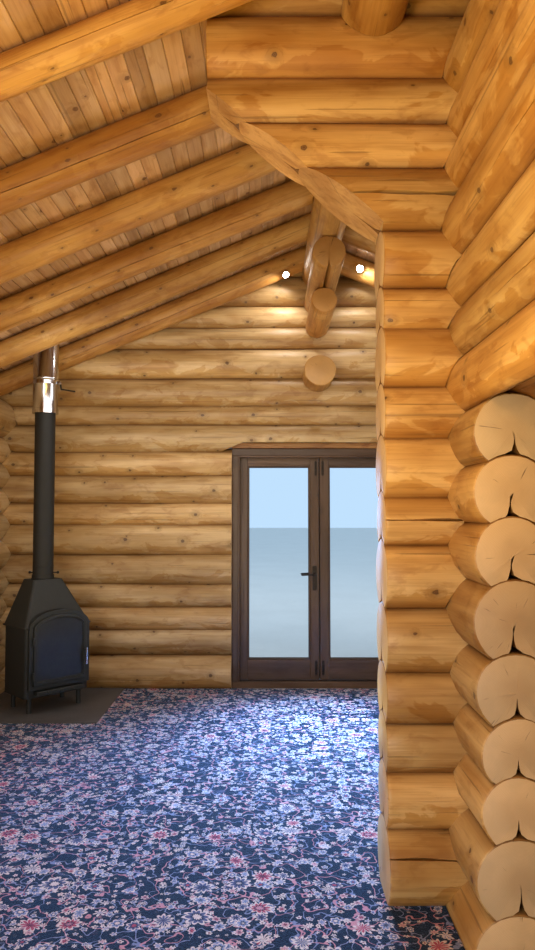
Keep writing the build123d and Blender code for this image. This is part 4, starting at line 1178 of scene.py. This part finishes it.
def arch(margin, steps=32):
    """Outline of the fire opening, smaller by a margin."""
    half = 0.250 - margin
    angles = [math.pi * i / steps for i in range(steps + 1)]
    return [(-half, 0.200 + margin), (half, 0.200 + margin)] + [
        (half * math.cos(a), 0.650 + (0.128 - margin) * math.sin(a)) for a in angles]


door = Pile()
door.outline(arch(0.028), 0.0003, 0.0205, 0, on_arch, arch(0.054), 0.004)
door.outline(arch(0.050), 0.0005, 0.0085, 1, on_arch)
door.outline(arch(0.054), 0.0085, 0.0130, 0, on_arch, arch(0.062), 0.002)
door.tube([(0.205, 0.45, 0.016), (0.205, 0.45, 0.048)], 0.007, 12, 0, on_arch)
door.tube([(0.205, 0.34, 0.052), (0.205, 0.47, 0.052)], [0.010, 0.008], 12, 2, on_arch)
for up in (0.30, 0.56):
    door.tube([(-0.226, up - 0.03, 0.018), (-0.226, up + 0.03, 0.018)], 0.009, 12, 0, on_arch)
piece("stove_door_arched", door, (stove_black, fire_glass, chrome), ("stove_door",))

parts = Pile()
parts.outline(arch(-0.005), 0.0005, 0.0035, 0, on_arch, arch(0.026), 0.001)
parts.box((-0.20, 0.150, 0.0), (0.20, 0.182, 0.060), 0, 0.004, place=on_stove)
for x in (-0.10, 0.0, 0.10):
    parts.turn([(0, 0.0), (0.014, 0.0), (0.014, 0.006), (0.010, 0.010), (0.0, 0.010)], (x, 0.166, 0.060),
               steps=18, place=on_stove)
parts.box((-0.281, 0.6495, -0.371), (0.281, 0.6610, 0.011), 0, 0.003, place=on_stove)
piece("stove_trims", parts, (stove_black,), (), "root")

pipe_low, pipe_high = FLOOR + 1.0003, FLOOR + 2.3397
damper_y, damper_z = PIPE_Y - 0.01, 1.212
pipe = Pile()
pipe.turn([(0, pipe_low), (PIPE_RADIUS, pipe_low)]
          + ring_profile(PIPE_RADIUS, 1.262, PIPE_JOINT) + ring_profile(PIPE_RADIUS, 1.519, PIPE_JOINT)
          + [(PIPE_RADIUS, pipe_high), (0, pipe_high)], PIPE_AXIS, 2, 40)
piece("stove_pipe_run", pipe, (pipe_black,), ("stove_pipe",))
fittings = Pile()
fittings.turn(ring_profile(PIPE_RADIUS, pipe_low, ((0.0005, 0), (0.012, 0), (0.012, 0.004), (0.007, 0.008),
                                                   (0.005, 0.035), (0.0005, 0.037))), PIPE_AXIS, 2, 40)
for side, reach, start in ((-1, 0.094, 0.02), (1, 0.114, 0)):
    x = PIPE_X + side * reach
    fittings.tube([(PIPE_X + side * 0.07, damper_y, damper_z), (x, damper_y, damper_z)], 0.005)
    fittings.turn([(0, 0), (0.008, 0.001), (0.011, 0.006), (0.011, 0.014), (0.007, 0.019), (0, 0.020)],
                  (x - start, damper_y, damper_z), 0, 16)
piece("pipe_fittings", fittings, (pipe_black,), (), "root")

flue_low, flue_high = FLOOR + 2.340, FLOOR + 4.700
profile = [(0, flue_low), (0.104, flue_low), (0.104, flue_low + 0.038), (FLUE_RADIUS, flue_low + 0.040)]
z = 2.775
while z < flue_high - 0.1:
    profile += ring_profile(FLUE_RADIUS, z, FLUE_JOINT)
    z += 0.5
flue = Pile()
flue.turn(profile + [(FLUE_RADIUS, flue_high), (0, flue_high)], PIPE_AXIS, 2, 48)
piece("flue_run", flue, (chrome,), ("flue",))
dress("flue_cowl", chrome)


def flue_ring(across, along):
    """Ring of points round the flue, in the frame of the slope."""
    angles = [2 * math.pi * i / 40 for i in range(40)]
    return [(FLUE_U + across * math.cos(a), PIPE_Y + along * math.sin(a)) for a in angles]


# Flashing on the roof, collar under the boards, and the clamp with its rod back to the gable wall
flashing = Pile()
for profile in (
        [(0.167, 3.215), (0.160, 3.29), (0.109, 3.50), (0.1025, 3.50), (0.1025, 3.215), (0.167, 3.215)],
        [(0.101, 3.512), (0.130, 3.506), (0.123, 3.522), (0.104, 3.548), (0.101, 3.548), (0.101, 3.512)]):
    flashing.turn(profile, PIPE_AXIS, 2, 40)
flashing.outline([(FLUE_U + u * 0.26, PIPE_Y + v * 0.24) for u, v in ((-1, -1), (1, -1), (1, 1), (-1, 1))],
                 CORE_TOP + 0.017, CORE_TOP + 0.0195, 0, plumb_slope(-1))
flashing.outline(flue_ring(0.155, 0.145), -0.0025, -0.0002, 0, down_slope(-1), flue_ring(0.1115, 0.1015),
                 0.001)
flashing.turn(ring_profile(FLUE_RADIUS, BAND, ((0.0002, 0), (0.0035, 0), (0.0035, 0.024), (0.0002, 0.024))),
              PIPE_AXIS, 2, 40)
for y in (PIPE_Y - 0.020, PIPE_Y + 0.004):
    flashing.box((PIPE_X + 0.096, y, BAND), (PIPE_X + 0.126, y + 0.016, BAND + 0.024), 0, 0.002)
flashing.turn([(0, -0.030), (0.012, -0.029), (0.014, -0.024), (0.012, -0.019), (0.005, -0.018),
               (0.005, 0.030), (0, 0.030)], (PIPE_X + 0.116, PIPE_Y, BAND + 0.012), 1, 16)
flashing.tube([(PIPE_X + 0.113, y, BAND + z) for y, z in (
    (PIPE_Y + 0.022, 0.010), (PIPE_Y + 0.05, -0.030), (HALF_LENGTH - 0.100, 0.025))], 0.007, 10, 1)
piece("flue_fittings", flashing, (chrome, pipe_black), (), "root")

# Spotlights on the room side of the last rafters, and the lamps in front of them
spots = Pile()
lamps = []
for side, x, turn in SPOTS:
    turn = math.radians(turn)
    out = np.array((-side * SIN * math.sin(turn), -math.cos(turn), -COS * math.sin(turn)))
    down = np.array((side * COS, 0, -SIN))
    axis = np.array((side * x, SPOT_RAFTER * RAFTER_SPACING, axis_apex(RAFTER_RADIUS) - SLOPE * x))

    def on_spot(rows, turned=np.stack([down, np.cross(out, down), out]), axis=axis):
        return axis + np.asarray(rows, float) @ turned

    spots.turn([(0, 0.086), (0.034, 0.086), (0.0338, 0.103), (0.0310, 0.118), (0.0295, 0.1225),
                (0.0275, 0.1215), (0.0270, 0.117), (0, 0.117)], steps=32, place=on_spot)
    spots.turn([(0, 0.1165), (0.0268, 0.1170), (0.024, 0.1200), (0.012, 0.1218), (0, 0.1222)], steps=32,
               slot=1, place=on_spot)
    lamps.append(axis + SPOT_LAMP * out)
piece("spotlight_pair", spots, (chrome, lamp_glow), ("spotlights",))

dress("base_slab", concrete)
dress("carpet", carpet_pile)

# Camera at the photograph's place, inside the front room
scene = bpy.context.scene
camera_data = bpy.data.cameras.new("camera")
camera_data.lens = 27.06
camera_data.sensor_width = 36
camera_data.clip_start = 0.05
camera = bpy.data.objects.new("camera", camera_data)
scene.collection.objects.link(camera)
camera.location = (-0.43, -2.653, 1.73)
camera.rotation_euler = (math.radians(90 + 2.65), 0, math.radians(0.12))
scene.camera = camera
scene.view_settings.view_transform = "Standard"

# Studio light outside; in the rooms window light, a warm lamp up front and the two spotlights
world = bpy.data.worlds.new("studio")
world.use_nodes = True
world.node_tree.nodes["Background"].inputs[0].default_value = (0.54, 0.76, 1.0, 1)
world.node_tree.nodes["Background"].inputs[1].default_value = 1.0
scene.world = world


def lamp(name, kind, place, aim, power, color, size, spread=180):
    """A light at a place; an area light has two sizes, the others a radius."""
    data = bpy.data.lights.new(name, kind)
    if kind == "AREA":
        data.shape = "RECTANGLE"
        data.size, data.size_y = size
        data.spread = math.radians(spread)
    else:
        data.shadow_soft_size = size
    if kind == "SPOT":
        data.spot_size = math.radians(155)
        data.spot_blend = 0.8
    data.energy = power
    data.color = color
    light = bpy.data.objects.new(name, data)
    light.location = place
    light.rotation_euler = (Vector(aim) - Vector(place)).to_track_quat("-Z", "Y").to_euler()
    light.visible_camera = light.visible_transmission = False
    scene.collection.objects.link(light)


WARM = (1.0, 0.64, 0.25)
SOFT = (1.0, 0.70, 0.18)
WHITE = (1.0, 0.96, 0.92)
BLUE = (0.26, 0.55, 1.0)
lamp("front_lamp", "POINT", (-0.6, -1.5, 2.75), (0, 0, 0), 30, WARM, 0.12)
lamp("front_window", "AREA", (-2.0, -3.2, 1.3), (0.4, 0.6, 0.9), 32, WHITE, (1.2, 1.2), 110)
lamp("floor_bounce", "AREA", (-1.0, -1.2, 1.6), (-0.9, -0.8, 4.0), 38, SOFT, (1.8, 1.8))
lamp("room_bounce", "AREA", (-0.9, 1.5, 0.6), (-0.9, 1.6, 4.0), 26, SOFT, (2.2, 1.4))
lamp("room_window", "AREA", (-2.55, 1.6, 1.5), (1.0, 2.6, 1.2), 8, WHITE, (1.8, 1.2))
lamp("room_day", "AREA", (2.3, 1.9, 1.9), (-2.8, 2.8, 1.2), 26, WHITE, (1.8, 1.4))
lamp("room_top", "AREA", (-0.9, 2.2, 2.75), (-0.9, 3.6, 1.4), 15, WHITE, (2.6, 0.6))
lamp("side_room", "AREA", (1.6, -1.6, 2.5), (1.6, -1.6, 0.0), 20, WARM, (1.4, 2.0))
lamp("door_daylight", "AREA", (0.02, 3.15, 1.45), (-0.1, 1.6, 0.16), 108, BLUE, (1.2, 1.4), 100)
lamp("outside_key", "AREA", (10, -9, 12), (0, 0, 1.5), 1900, (1.0, 0.97, 0.92), (9, 9))
lamp("outside_fill", "AREA", (-12, 6, 8), (0, 0, 1.5), 700, WHITE, (9, 9))
for (side, *_), place in zip(SPOTS, lamps):
    lamp("spot_lamp", "SPOT", tuple(place), tuple(place + (side * 0.5, 0.15, -1.0)), 14, WHITE, 0.03)

# Pale floor outside
ground = bpy.data.meshes.new("ground")
corners = [(x * 60, y * 60, -0.001) for x, y in ((-1, -1), (1, -1), (1, 1), (-1, 1))]
ground.from_pydata(corners, [], [(0, 1, 2, 3)])
ground.materials.append(plain("ground_look", (0.66, 0.66, 0.64), (0.60, 0.60, 0.58), 1.0, 0.9, lift=0.0))
ground_object = bpy.data.objects.new("ground", ground)
scene.collection.objects.link(ground_object)
